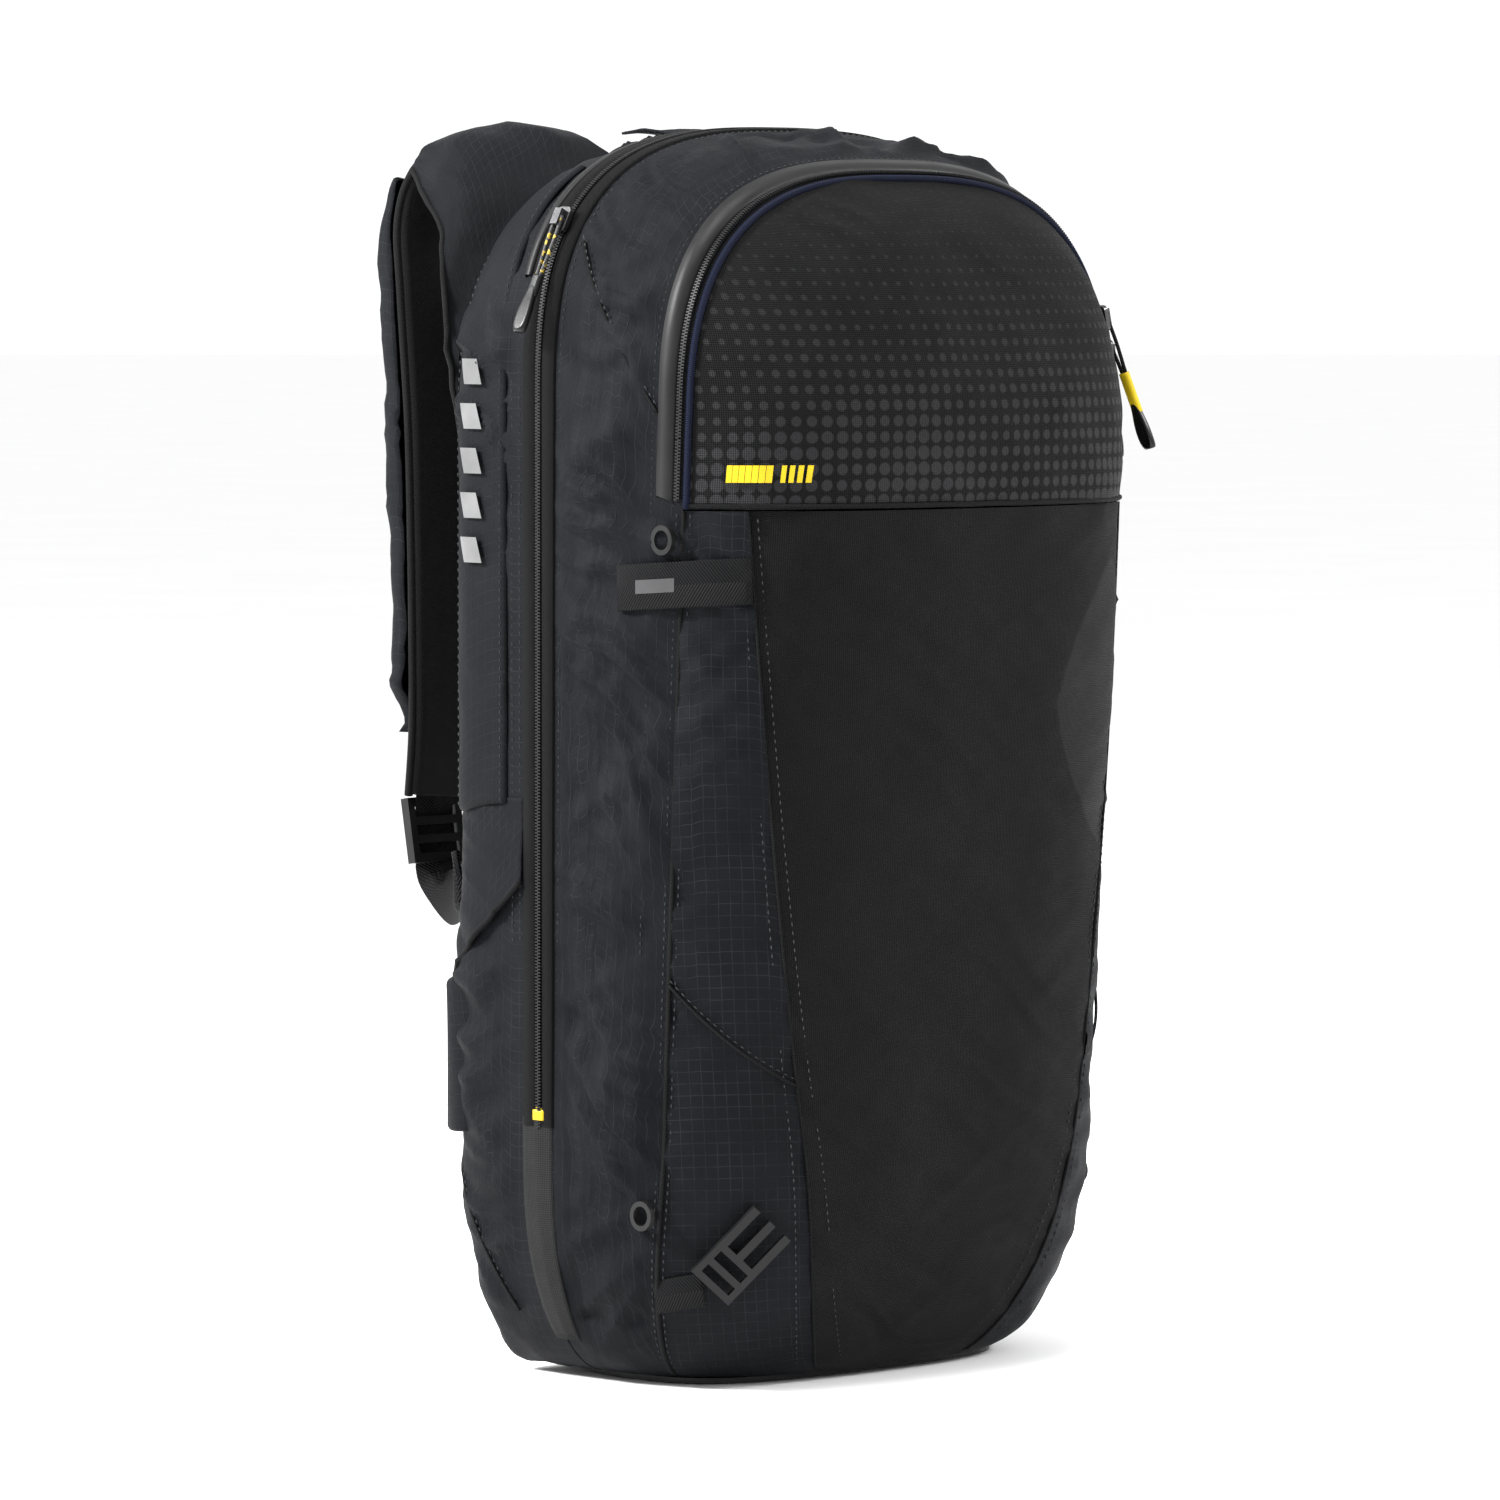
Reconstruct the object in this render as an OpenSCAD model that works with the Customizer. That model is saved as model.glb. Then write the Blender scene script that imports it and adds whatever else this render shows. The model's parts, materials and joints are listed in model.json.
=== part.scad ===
// Avalanche airbag backpack of the 25 litre class, in millimetres.
// +Z is up. The front panel faces -Y and the wearer's back rests on the +Y side.
// The origin is on the underside of the base plate, below the main zip's plane y = 0.

/* [Pack body] */
// Width of the body at the main zip
body_w = 308; // [280:2:340]
// Height of the fabric body above the base plate
body_h = 587; // [540:1:640]
// Depth of the zip-on booster in front of the main zip
booster_d = 152; // [130:1:185]
// Depth of the airbag base unit behind the main zip
base_d = 76; // [72:1:92]
// Thickness of the padded fabric walls
wall_t = 3; // [2:0.5:3]
// Thickness of the base plate
boot_t = 2.6; // [2:0.2:5]
// Height of the front flap's lower edge
flap_z = 413; // [390:1:430]
// Depth of the pocket zip in front of the main zip
zip_d = 86; // [78:1:92]
// Depth at which the lower front panel starts
panel_d = 117; // [108:1:122]

/* [Harness] */
// Width of a shoulder strap
strap_w = 64; // [56:1:70]
// Thickness of a shoulder strap's foam
strap_t = 10; // [7:0.5:11]
// Thickness of a shoulder strap's padded sleeve
sleeve_t = 23; // [18:1:26]
// Width of the lower strap webbing
webbing_w = 25; // [20:1:28]
// Thickness of every webbing
webbing_t = 1.6; // [1.2:0.1:2]
// Height of a hip belt wing
hip_h = 76; // [56:2:88]
// Thickness of a hip belt wing
hip_t = 6; // [4:0.5:7]
// Thickness of the back pads
pad_t = 9; // [6:0.5:11]

/* [Buckles and zips] */
// Width of the ski strap webbing
ski_w = 16; // [12:1:18]
// Width of one zip tape
tape_w = 9; // [7:0.5:11]
// Width of a zip coil
coil_w = 3.4; // [2.8:0.2:4]
// Length of a zip slider
slider_l = 13; // [11:0.5:14]
// Length of a zip pull, cord and grip together
pull_l = 60; // [52:1:66]

/* [Airbag system] */
// Outer diameter of the fan impeller
impeller_dia = 84; // [70:1:88]
// Radial gap between the impeller and its housing
impeller_gap = 5; // [3:0.5:6]
// Depth of the fan housing
fan_depth = 36; // [32:1:38]
// Diameter of the motor shaft
shaft_dia = 5; // [4:0.5:6]
// Outer diameter of a shaft bearing
bearing_dia = 13; // [11:0.5:14]
// Outer diameter of the air duct to the airbag
duct_dia = 40; // [38:1:42]
// Diameter of the check valve's pin
pin_dia = 2; // [1.6:0.1:2.4]
// Diameter of the power button
button_dia = 12; // [9:0.5:14]

/* [Hidden] */

fit = 0.3;            // gap between layers that lie on each other
slip = 0.05;          // radial clearance of a running fit
front_n = 2.8;        // fullness of the body's front, seen from above
back_n = 6;           // fullness of the body's back, seen from above
front_drop = 160;     // height of the rounding from the front face to the top
back_drop = 70;       // height of the rounding from the back face to the top
back_rise = 97;       // height of the rounding from the back face to the base
front_rise = 134;     // height of the rounding from the front face to the base
taper_z = 460;        // height below which the front slopes back
taper_share = 0.83;   // depth of the front where the rounding to the base begins, as a share
toe_share = 0.56;     // depth left at the base, as a share of the depth above it
foot_share = 0.7;     // width of the flat base, as a share of the body's width
keep_share = 0.61;    // depth of the flat base behind the main zip, as a share
corner_h = 130;       // height of the upper side rounding
heel_h = 95;          // height of the lower side rounding
half_w = body_w / 2;
base_z = boot_t + fit;
top_z = base_z + body_h;
back_y = base_d - 1.6;
ripstop = [0.18, 0.19, 0.21];
black = [0.07, 0.07, 0.08];
gray = [0.25, 0.26, 0.28];

// ---------- the body surface ----------

function share(t, n) = pow(max(0, 1 - pow(min(1, abs(t)), n)), 1 / n);
function reach(y) = abs(y) / (y < 0 ? booster_d : base_d);
function wide(y) = half_w * share(reach(y), y < 0 ? front_n : back_n);
function high(y) = top_z - (y < 0 ? front_drop * (1 - share(reach(y), 2.2)) : back_drop * (1 - share(reach(y), 2.4)));
function low(y) = base_z + (y < 0 ? 0 : back_rise * (1 - share(max(0, (reach(y) - keep_share) / (1 - keep_share)), 2)));
// How far the front slopes back at height z. Depths are stated for the height where this is 1.
function slope(z) = z > taper_z ? 1
  : z > front_rise ? 1 - (1 - taper_share) * (taper_z - z) / (taper_z - front_rise)
  : taper_share * (toe_share + (1 - toe_share) * share((front_rise - z) / front_rise, 1.7));
function depth_at(y, z) = y < 0 ? y * slope(z) : y;
function shrink(y) = sqrt(wide(y) / half_w);
// Point of the surface. u runs 0 at the base's middle, 1 at its edge, 2 at the side's foot, 3 at the side's
// top and 4 at the crown, then down the other side to 8. off moves the point outwards.
function body_point(u, y, off = 0) =
  u > 4 ? let (p = body_point(8 - u, y, off)) [-p.x, p.y, p.z] : let (
    w = wide(y) + off,
    t = high(y) + off,
    b = max(base_z, low(y) - off),
    ch = corner_h * shrink(y),
    lh = heel_h * shrink(y),
    q = u <= 1 ? [foot_share * w * u, b]
      : u <= 2 ? [w * (foot_share + (1 - foot_share) * pow(sin(90 * (u - 1)), 0.91)),
                  b + lh * (1 - pow(cos(90 * (u - 1)), 0.91))]
      : u <= 3 ? [w, b + lh + (t - ch - b - lh) * (u - 2)]
      : [w * pow(max(0, cos(90 * (u - 3))), 0.714), t - ch + ch * pow(max(0, sin(90 * (u - 3))), 0.714)])
  [q.x, depth_at(y + sign(y) * off * pow(reach(y), 3), q.y), q.y];
// Half width of the surface at depth y and height z.
function side_x(y, z) = let (ch = corner_h * shrink(y), lh = heel_h * shrink(y), t = high(y), b = low(y))
  z > t - ch ? wide(y) * share((z - t + ch) / ch, 2.8)
  : z < b + lh ? wide(y) * (foot_share + (1 - foot_share) * share((b + lh - z) / lh, 2.2))
  : wide(y);
// Value of u on the side where the surface is at height z.
function side_u(y, z) = let (ch = corner_h * shrink(y), lh = heel_h * shrink(y), t = high(y), b = low(y))
  z > t - ch ? 3 + asin(pow(min(1, (z - t + ch) / ch), 1.4)) / 90 : 2 + (z - b - lh) / (t - ch - b - lh);

half_us = [0, 0.5, 1, 1.25, 1.5, 1.75, 2, 2.2, 2.4, 2.6, 2.8, 3, 3.12, 3.24, 3.36, 3.48, 3.6, 3.72, 3.86, 4];
ring_us = concat(half_us, [for (i = [len(half_us) - 2 : -1 : 1]) 8 - half_us[i]]);
function loop_at(y, off) = [for (u = ring_us) body_point(u, y, off)];
function between(a, b) = concat([a], [for (u = ring_us) if (u > a + 0.02 && u < b - 0.02) u], [b]);
function flatten(rows) = [for (row = rows) each row];

// End faces for a ring of two rows, built as a strip from row to row.
function strip_cap(m, o) = [for (j = [0 : m / 2 - 2])
  each [[o + j, o + j + 1, o + m - 2 - j], [o + j, o + m - 2 - j, o + m - 1 - j]]];
// End faces for a body outline, as a fan from its crown.
function fan_cap(m, o) = let (h = m / 2) [for (j = [1 : m - 2]) [o + h, o + (h + j) % m, o + (h + j + 1) % m]];
function turned(faces) = [for (f = faces) [for (i = [len(f) - 1 : -1 : 0]) f[i]]];

// A closed solid from rings of equal length, each made of two rows.
module tube_solid(rings) {
  m = len(rings[0]);
  n = len(rings);
  polyhedron(flatten(rings), concat(
    strip_cap(m, 0),
    turned(strip_cap(m, (n - 1) * m)),
    [for (i = [0 : n - 2]) for (j = [0 : m - 1]) let (k = (j + 1) % m)
      each [[i * m + j, (i + 1) * m + j, (i + 1) * m + k], [i * m + j, (i + 1) * m + k, i * m + k]]]));
}

// A closed solid from rings that lead back to the first one, with a hole through its middle.
module torus_solid(rings) {
  m = len(rings[0]);
  n = len(rings);
  polyhedron(flatten(rings), [for (i = [0 : n - 1]) let (h = (i + 1) % n) for (j = [0 : m - 1])
    let (k = (j + 1) % m)
    each [[i * m + j, h * m + j, h * m + k], [i * m + j, h * m + k, i * m + k]]]);
}

// A body wall between depths ys, listed from back to front, open at both ends.
module body_ring(ys, low_off, high_off) {
  last = len(ys) - 1;
  torus_solid(concat(
    [for (i = [last : -1 : 0]) loop_at(ys[i], high_off)],
    [for (i = [0 : last]) loop_at(ys[i], low_off)]));
}

// A strip of the body surface between two depths and two places along the outline.
module body_strip(ys, from, to, low_off, high_off) {
  last = len(ys) - 1;
  tube_solid([for (u = between(from, to)) concat(
    [for (y = ys) body_point(u, y, high_off)],
    [for (i = [last : -1 : 0]) body_point(u, ys[i], low_off)])]);
}

// The solid body in front of depth y_from.
function dome_ys(y_from, steps) = [for (i = [0 : steps]) -(y_from + (booster_d * 0.998 - y_from) * sin(90 * i / steps))];
// Its end faces are built of strips that join the two sides, because they bend with the slope.
function bent_cap(m, o) = let (h = m / 2) concat(
  [for (q = [[m - 3, m - 2], [m - 2, m - 1], [m - 1, 0], [0, 1], [1, 2]]) [o + 3, o + q[0], o + q[1]]],
  [for (j = [3 : h - 2]) each [[o + j, o + j + 1, o + m - j - 1], [o + j, o + m - j - 1, o + m - j]]],
  [[o + h - 1, o + h, o + h + 1]]);
module front_dome(y_from, off, steps = 8) {
  rings = [for (y = dome_ys(y_from, steps)) loop_at(y, off)];
  m = len(ring_us);
  n = len(rings);
  polyhedron(flatten(rings), concat(
    bent_cap(m, 0),
    turned(bent_cap(m, (n - 1) * m)),
    [for (i = [0 : n - 2]) for (j = [0 : m - 1]) let (k = (j + 1) % m)
      each [[i * m + j, (i + 1) * m + j, (i + 1) * m + k], [i * m + j, (i + 1) * m + k, i * m + k]]]));
}
module front_skin(y_from, low_off, high_off) {
  difference() {
    front_dome(y_from, high_off);
    front_dome(y_from - 0.5, low_off);
  }
}
module half_space(below) {
  size = 4 * body_h;
  translate([-size / 2, -size / 2, below ? -size : 0]) cube(size);
}

// ---------- bands, tubes and frames ----------

function unit(v) = v / norm(v);
function tangent(p, i) = unit(p[min(i + 1, len(p) - 1)] - p[max(i - 1, 0)]);
// Ring of eight points round p: t is the band's direction, across its width, shift moves it along the normal.
function band_ring(p, t, across, w, h, shift) =
  let (u = unit(across - (across * t) * t), n = cross(t, u), c = min(h, w) * 0.3)
  [for (q = [[-w / 2, c - h / 2], [c - w / 2, -h / 2], [w / 2 - c, -h / 2], [w / 2, c - h / 2],
             [w / 2, h / 2 - c], [w / 2 - c, h / 2], [c - w / 2, h / 2], [-w / 2, h / 2 - c]])
    p + q[0] * u + (q[1] + shift) * n];
module band(path, across, widths, heights, shifts) {
  tube_solid([for (i = [0 : len(path) - 1])
    band_ring(path[i], tangent(path, i), across[i], widths[i], heights[i], shifts[i])]);
}
module plain_band(path, across, w, h) {
  band(path, [for (p = path) across], [for (p = path) w], [for (p = path) h], [for (p = path) 0]);
}
// A Catmull-Rom curve through the points, with k steps a span.
function spline(p, k) = concat([for (i = [0 : len(p) - 2]) for (s = [0 : k - 1]) let (
    t = s / k, a = p[max(i - 1, 0)], b = p[i], c = p[i + 1], d = p[min(i + 2, len(p) - 1)])
    0.5 * (2 * b + (c - a) * t + (2 * a - 5 * b + 4 * c - d) * t * t + (3 * b - a - 3 * c + d) * t * t * t)],
  [p[len(p) - 1]]);
function slice(list, a, b) = [for (i = [a : b]) list[i]];
function constant(list, v) = [for (x = list) v];
module rounded_box(size, r) {
  linear_extrude(size.z) hull() for (x = [-1, 1], y = [-1, 1])
    translate([x * (size.x / 2 - r), y * (size.y / 2 - r)]) circle(r, $fn = 24);
}
// Places its children with their X axis along ex and their Z axis along ez.
module placed(o, ex, ez) {
  ey = cross(ez, ex);
  multmatrix([[ex.x, ey.x, ez.x, o.x], [ex.y, ey.y, ez.y, o.y], [ex.z, ey.z, ez.z, o.z], [0, 0, 0, 1]]) children();
}
module mirrored(side) {
  if (side < 0) children();
  else mirror([1, 0, 0]) children();
}

// ---------- body ----------

base_y0 = -taper_share * toe_share * booster_d;
base_y1 = keep_share * base_d;
module base_plate() color(black) linear_extrude(boot_t) polygon([for (i = [0 : 47]) let (a = 360 * i / 48)
  [foot_share * half_w * sign(cos(a)) * pow(abs(cos(a)), 0.6),
   (base_y0 + base_y1) / 2 + (base_y1 - base_y0) / 2 * sign(sin(a)) * pow(abs(sin(a)), 0.6)]]);

base_rings = [for (i = [0 : 7]) 0.3 + (back_y - 0.3) * sin(90 * i / 7)];
base_inner = [for (i = [0 : 7]) 0.3 + (back_y - wall_t - 0.3) * sin(90 * i / 7)];
module base_shell() color(ripstop) {
  rings = concat([for (y = base_inner) loop_at(y, -wall_t)], [for (i = [7 : -1 : 0]) loop_at(base_rings[i], 0)]);
  m = len(ring_us);
  polyhedron(flatten(rings), concat(
    [for (i = [0 : 15]) let (h = (i + 1) % 16) if (i != 7) for (j = [0 : m - 1]) let (k = (j + 1) % m)
      each [[i * m + j, h * m + k, h * m + j], [i * m + j, i * m + k, h * m + k]]],
    fan_cap(m, 7 * m),
    turned(fan_cap(m, 8 * m))));
}

divider_t = 1.4;
divider_y = 2.5;
module base_divider() color(black) {
  m = len(ring_us);
  polyhedron(concat(loop_at(divider_y + divider_t, -wall_t - fit), loop_at(divider_y, -wall_t - fit)), concat(
    fan_cap(m, 0),
    turned(fan_cap(m, m)),
    [for (j = [0 : m - 1]) let (k = (j + 1) % m) each [[j, m + j, m + k], [j, m + k, k]]]));
}

module booster_gusset() color(ripstop)
  body_ring([for (i = [0 : 5]) -0.3 - (zip_d - 0.6) * i / 5], -wall_t, 0);

module booster_side_panel() color(ripstop) intersection() {
  body_ring([for (i = [0 : 3]) -zip_d - (panel_d - zip_d - fit) * i / 3], -wall_t, 0);
  translate([0, 0, flap_z - fit]) half_space(true);
}

skin = 0.6;
module front_panel() color(black) intersection() {
  front_skin(panel_d, -wall_t, skin);
  translate([0, 0, flap_z - fit]) half_space(true);
}
module front_flap() color(black) intersection() {
  front_skin(zip_d + fit, -wall_t, skin);
  translate([0, 0, flap_z + fit]) half_space(false);
}

// ---------- zips ----------

main_zip_low = 122;
main_from = side_u(0, main_zip_low);
tape_t = 1;
coil_t = 1.8;
tape_in = coil_w / 2 + fit;
module surface_strip(y0, y1, from, t) body_strip([y0, (y0 + y1) / 2, y1], from, 8 - from, fit, fit + t);
module main_zip_tapes() color(black) {
  surface_strip(tape_in + tape_w, tape_in, main_from, tape_t);
  surface_strip(-tape_in, -tape_in - tape_w, main_from, tape_t);
}
module main_zip_coil() color(black) surface_strip(coil_w / 2, -coil_w / 2, main_from, coil_t);

cover_zip_y = tape_in + tape_w + fit;
cover_zip_w = 5;
cover_zip_low = 520;
module cover_zip_tape() color(black)
  surface_strip(cover_zip_y + cover_zip_w, cover_zip_y, side_u(cover_zip_y, cover_zip_low), 1.4);

pocket_from = side_u(-zip_d + 8, flap_z + 3);
pocket_y = -zip_d + 1.2 + coil_w / 2;
module pocket_zip_coil() color(black)
  surface_strip(pocket_y + coil_w / 2, pocket_y - coil_w / 2, pocket_from, coil_t);
module pocket_zip_tape() color(black)
  surface_strip(pocket_y + tape_in + tape_w, pocket_y + tape_in, pocket_from, tape_t);

// Sliders ride on a straight chord of the zip's curve.
slider_w = 9;
slider_t = 2.4;
bar_out = 3.6;
slider_off = fit + coil_t + 1.3;
function zip_place(side, y, z0, z1) = let (
    a = [side * side_x(y, z0), y, z0],
    b = [side * side_x(y, z1), y, z1],
    up = unit(a - b),
    out = side * [up.z, 0, -up.x])
  [a + slider_off * out, up, out];
module slider(place) color(gray) placed(place[0], place[1], place[2]) {
  rounded_box([slider_l, slider_w, slider_t], 2.5);
  difference() {
    translate([-slider_l * 0.32, -2.2, slider_t]) cube([slider_l * 0.64, 4.4, bar_out]);
    translate([-2.4, -3, slider_t]) cube([4.8, 6, bar_out - 1]);
  }
}
// A pull that lies along the body: bar, arms, cord, sleeve and moulded grip.
grip_dia = 8;
module pull(place, side, length, tilt) color(black)
  translate(place[0] + (slider_t + bar_out / 2 - 0.4) * place[2]) rotate([0, side * tilt, 0]) {
    rotate([90, 0, 0]) cylinder(d = 1.8, h = 6.4, center = true, $fn = 24);
    for (s = [-1, 1]) translate([0, s * 3.4, -11]) cylinder(d = 1.8, h = 11.9, $fn = 16);
    translate([0, 0, -13]) rounded_box([3, 8.6, 4], 1.4);
    translate([0, 0, -length + 16]) cylinder(d = 3, h = length - 28, $fn = 20);
    translate([0, 0, -length + 24]) cylinder(d = 4.6, h = min(14, length - 36), $fn = 24);
    translate([0, 0, -length + 6]) rotate_extrude($fn = 24)
      polygon([[0, -6], [2.6, -5.4], [grip_dia / 2, -1.5], [grip_dia / 2, 2.5], [3, 8], [1.9, 12], [0, 12]]);
  }

main_slider_z = top_z - 45;
main_travel = 20;
main_place = zip_place(-1, 0, main_slider_z, main_slider_z - main_travel);
main_tilt = -26;
module main_zip_slider() slider(main_place);
module main_zip_pull() pull(main_place, 1, pull_l, -main_tilt);

pocket_upper_z = flap_z + 86;
pocket_lower_z = pocket_upper_z - slider_l - 3;
pocket_upper_place = zip_place(1, pocket_y, pocket_upper_z, pocket_upper_z - 8);
pocket_lower_place = zip_place(1, pocket_y, pocket_lower_z, pocket_lower_z - 30);
module pocket_slider_upper() slider(pocket_upper_place);
module pocket_slider_lower() slider(pocket_lower_place);
module pocket_pull_upper() pull(pocket_upper_place, 1, pull_l - 20, -42);
module pocket_pull_lower() pull(pocket_lower_place, 1, pull_l - 8, -6);

// ---------- airbag cover flaps on the base unit's sides ----------

flap_t = 2;
flap_low = 268;
module cover_flap() color(ripstop) body_strip([64, 56, 44, 32, 22], side_u(40, flap_low), 3.62, 0.5, 0.5 + flap_t);
module cover_flap_left() mirror([1, 0, 0]) cover_flap();
module cover_flap_right() cover_flap();

// ---------- back ----------

sheet_half = 92;
sheet_y = back_y - wall_t - 4.6;
module frame_sheet() color([0.2, 0.2, 0.2]) translate([0, sheet_y + 1.6, 0]) rotate([90, 0, 0])
  linear_extrude(1.6) hull() for (x = [-1, 1], z = [100, top_z - 110])
    translate([x * (sheet_half - 18), z]) circle(18, $fn = 32);
stay_x = 66;
module frame_stays() color("silver") for (s = [-1, 1])
  translate([s * stay_x - 7.5, sheet_y - 3.4, 84]) cube([15, 3, body_h - 190]);

pad_from = 214;
pad_to = top_z - 83.9;
pad_w = 60;
module back_pads() color(black) for (s = [-1, 1]) translate([s * 42, back_y + fit, 0]) rotate([90, 0, 0])
  mirror([0, 0, 1]) linear_extrude(pad_t) hull() for (x = [-1, 1], z = [pad_from + 14, pad_to - 14])
    translate([x * (pad_w / 2 - 14), z]) circle(14, $fn = 32);
lumbar_t = 7;
module lumbar_pad() color(black) translate([0, back_y + fit, 0]) rotate([90, 0, 0]) mirror([0, 0, 1])
  linear_extrude(lumbar_t) hull() for (x = [-1, 1], z = [104, 192]) translate([x * 60, z]) circle(14, $fn = 32);

haul_z = top_z - 66;
haul_line = spline([[-17, back_y + 2, haul_z], [-17, back_y + 5, haul_z + 18], [-10, back_y + 7, haul_z + 34],
  [10, back_y + 7, haul_z + 34], [17, back_y + 5, haul_z + 18], [17, back_y + 2, haul_z]], 3);
module haul_loop() color(black) plain_band(haul_line, [0, 1, 0], 3, 7);

// ---------- shoulder straps ----------

// Centre line of the left strap's foam, from its root on the back to its lower tip.
strap_line = spline([[-52, back_y + 6.4, top_z - 76], [-52, back_y + 8, top_z - 40], [-54, back_y + 23, top_z - 17],
  [-58, back_y + 52, top_z - 9], [-62, back_y + 77, top_z - 18], [-65, back_y + 86, top_z - 42],
  [-66, back_y + 83, top_z - 80], [-66, back_y + 78, top_z - 140], [-66, back_y + 76, top_z - 200],
  [-66, back_y + 78, top_z - 250], [-67, back_y + 82, top_z - 290], [-69, back_y + 89, top_z - 322]], 4);
strap_widths = spline(strap_w * [0.86, 0.9, 0.96, 1, 1, 1, 1, 1, 1, 0.92, 0.78, 0.6], 4);
sleeve_from = 18;
sleeve_to = 40;
sleeve_heights = [for (i = [sleeve_from : sleeve_to])
  let (rise = min(1, (i - sleeve_from + 2) / 6), fall = min(1, (sleeve_to - i + 4) / 6)) sleeve_t * rise * fall];
module strap(side) color(black) mirrored(side) band(strap_line, constant(strap_line, [1, 0, 0]), strap_widths,
  constant(strap_line, strap_t), constant(strap_line, 0));
module strap_left() strap(-1);
module strap_right() strap(1);

pocket_w = 26;
pocket_t = 12;
pocket_h = 84;
handle_y = back_y + 95.5;
handle_z = top_z - 290;
module strap_sleeve(side) color(ripstop) mirrored(side) difference() {
  band(slice(strap_line, sleeve_from, sleeve_to), [for (i = [sleeve_from : sleeve_to]) [1, 0, 0]],
    slice(strap_widths, sleeve_from, sleeve_to), sleeve_heights,
    [for (h = sleeve_heights) -(strap_t + h) / 2 - 0.6]);
  translate([-66 - pocket_w / 2, handle_y - pocket_t / 2, handle_z - 30]) cube([pocket_w, pocket_t, pocket_h + 30]);
}
module strap_sleeve_left() strap_sleeve(-1);
module strap_sleeve_right() strap_sleeve(1);

// A sheet through a grid of points, thickened along its own normals.
function grid_normal(g, i, j) = unit(cross(
  g[min(i + 1, len(g) - 1)][j] - g[max(i - 1, 0)][j],
  g[i][min(j + 1, len(g[0]) - 1)] - g[i][max(j - 1, 0)]));
module sheet_solid(g, t) {
  m = len(g[0]);
  tube_solid([for (i = [0 : len(g) - 1]) concat(
    [for (j = [0 : m - 1]) g[i][j] + t / 2 * grid_normal(g, i, j)],
    [for (j = [m - 1 : -1 : 0]) g[i][j] - t / 2 * grid_normal(g, i, j)])]);
}
yoke_t = 1.6;
yoke_y = 64;
yoke_rows = [
  [for (u = [4.05, 4.4, 4.64, 4.84, 4.98]) body_point(u, yoke_y, 5)],
  [[-28, back_y + 15, top_z - 7], [-66, back_y + 15.5, top_z - 9], [-104, back_y + 12, top_z - 25.5],
   [-128, back_y + 10, top_z - 51], [-141, back_y + 4, top_z - 88]],
  [[-28, back_y + 39, top_z + 1.5], [-66, back_y + 40, top_z + 1.5], [-99, back_y + 39, top_z - 5.5],
   [-115, back_y + 32, top_z - 25], [-126, back_y + 23, top_z - 47]],
  [[-28, back_y + 58, top_z + 1], [-66, back_y + 59, top_z + 1], [-99, back_y + 60, top_z - 5],
   [-101, back_y + 66, top_z - 12], [-101, back_y + 70, top_z - 18]]
];
yoke_fine = [for (row = yoke_rows) spline(row, 3)];
yoke_columns = [for (j = [0 : len(yoke_fine[0]) - 1]) spline([for (row = yoke_fine) row[j]], 3)];
yoke_grid = [for (i = [0 : len(yoke_columns[0]) - 1]) [for (column = yoke_columns) column[i]]];
module strap_yoke(side) color(ripstop) mirrored(side) sheet_solid(yoke_grid, yoke_t);
module strap_yoke_left() strap_yoke(-1);
module strap_yoke_right() strap_yoke(1);

strap_tip = strap_line[len(strap_line) - 1];
lock_w = webbing_w + 10;
lock_h = 32;
lock_t = 5;
lock_at = strap_tip + [0, 1, -lock_h / 2 - 1.5];
module ladder_lock(side) color(black) mirrored(side) translate(lock_at) rotate([80, 0, 0])
  translate([0, 0, -lock_t / 2]) linear_extrude(lock_t) difference() {
    square([lock_w, lock_h], center = true);
    for (z = [-9, 0, 9]) translate([0, z]) square([webbing_w + 1.6, 5], center = true);
  }
module ladder_lock_left() ladder_lock(-1);
module ladder_lock_right() ladder_lock(1);

webbing_line = spline([lock_at + [0, -4, -lock_h / 2 - 3], lock_at + [-4, -12, -26], lock_at + [-18, -34, -32],
  lock_at + [-40, -62, -26], [-half_w + 21, back_y + 7, lock_at.z - 17], [-half_w + 20, back_y, lock_at.z - 15]], 3);
module lower_webbing(side) color(black) mirrored(side) band(webbing_line,
  [for (i = [0 : 15]) let (f = min(1, i / 11)) [cos(90 * f), 0, sin(90 * f)]],
  constant(webbing_line, webbing_w), constant(webbing_line, webbing_t), constant(webbing_line, 0));
module lower_webbing_left() lower_webbing(-1);
module lower_webbing_right() lower_webbing(1);

// ---------- trigger, inside the left sleeve ----------

handle_w = 22;
handle_t = 9;
handle_l = 66;
trigger_dia = 9;
module trigger_handle() color(black) translate([-66, handle_y, handle_z]) difference() {
  translate([-handle_w / 2, -handle_t / 2, 0]) cube([handle_w, handle_t, handle_l]);
  translate([0, 0, -1]) cylinder(d = 4, h = 20, $fn = 24);
  translate([0, handle_t / 2 - 4, 12]) rotate([-90, 0, 0]) cylinder(d = trigger_dia, h = 5, $fn = 32);
}
module trigger_button() color("gold") translate([-66, handle_y + handle_t / 2 - 2.5, handle_z + 12])
  rotate([-90, 0, 0]) cylinder(d = trigger_dia - 2 * slip, h = 3, $fn = 32);

// ---------- hip belt, folded across the lower back ----------

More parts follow.
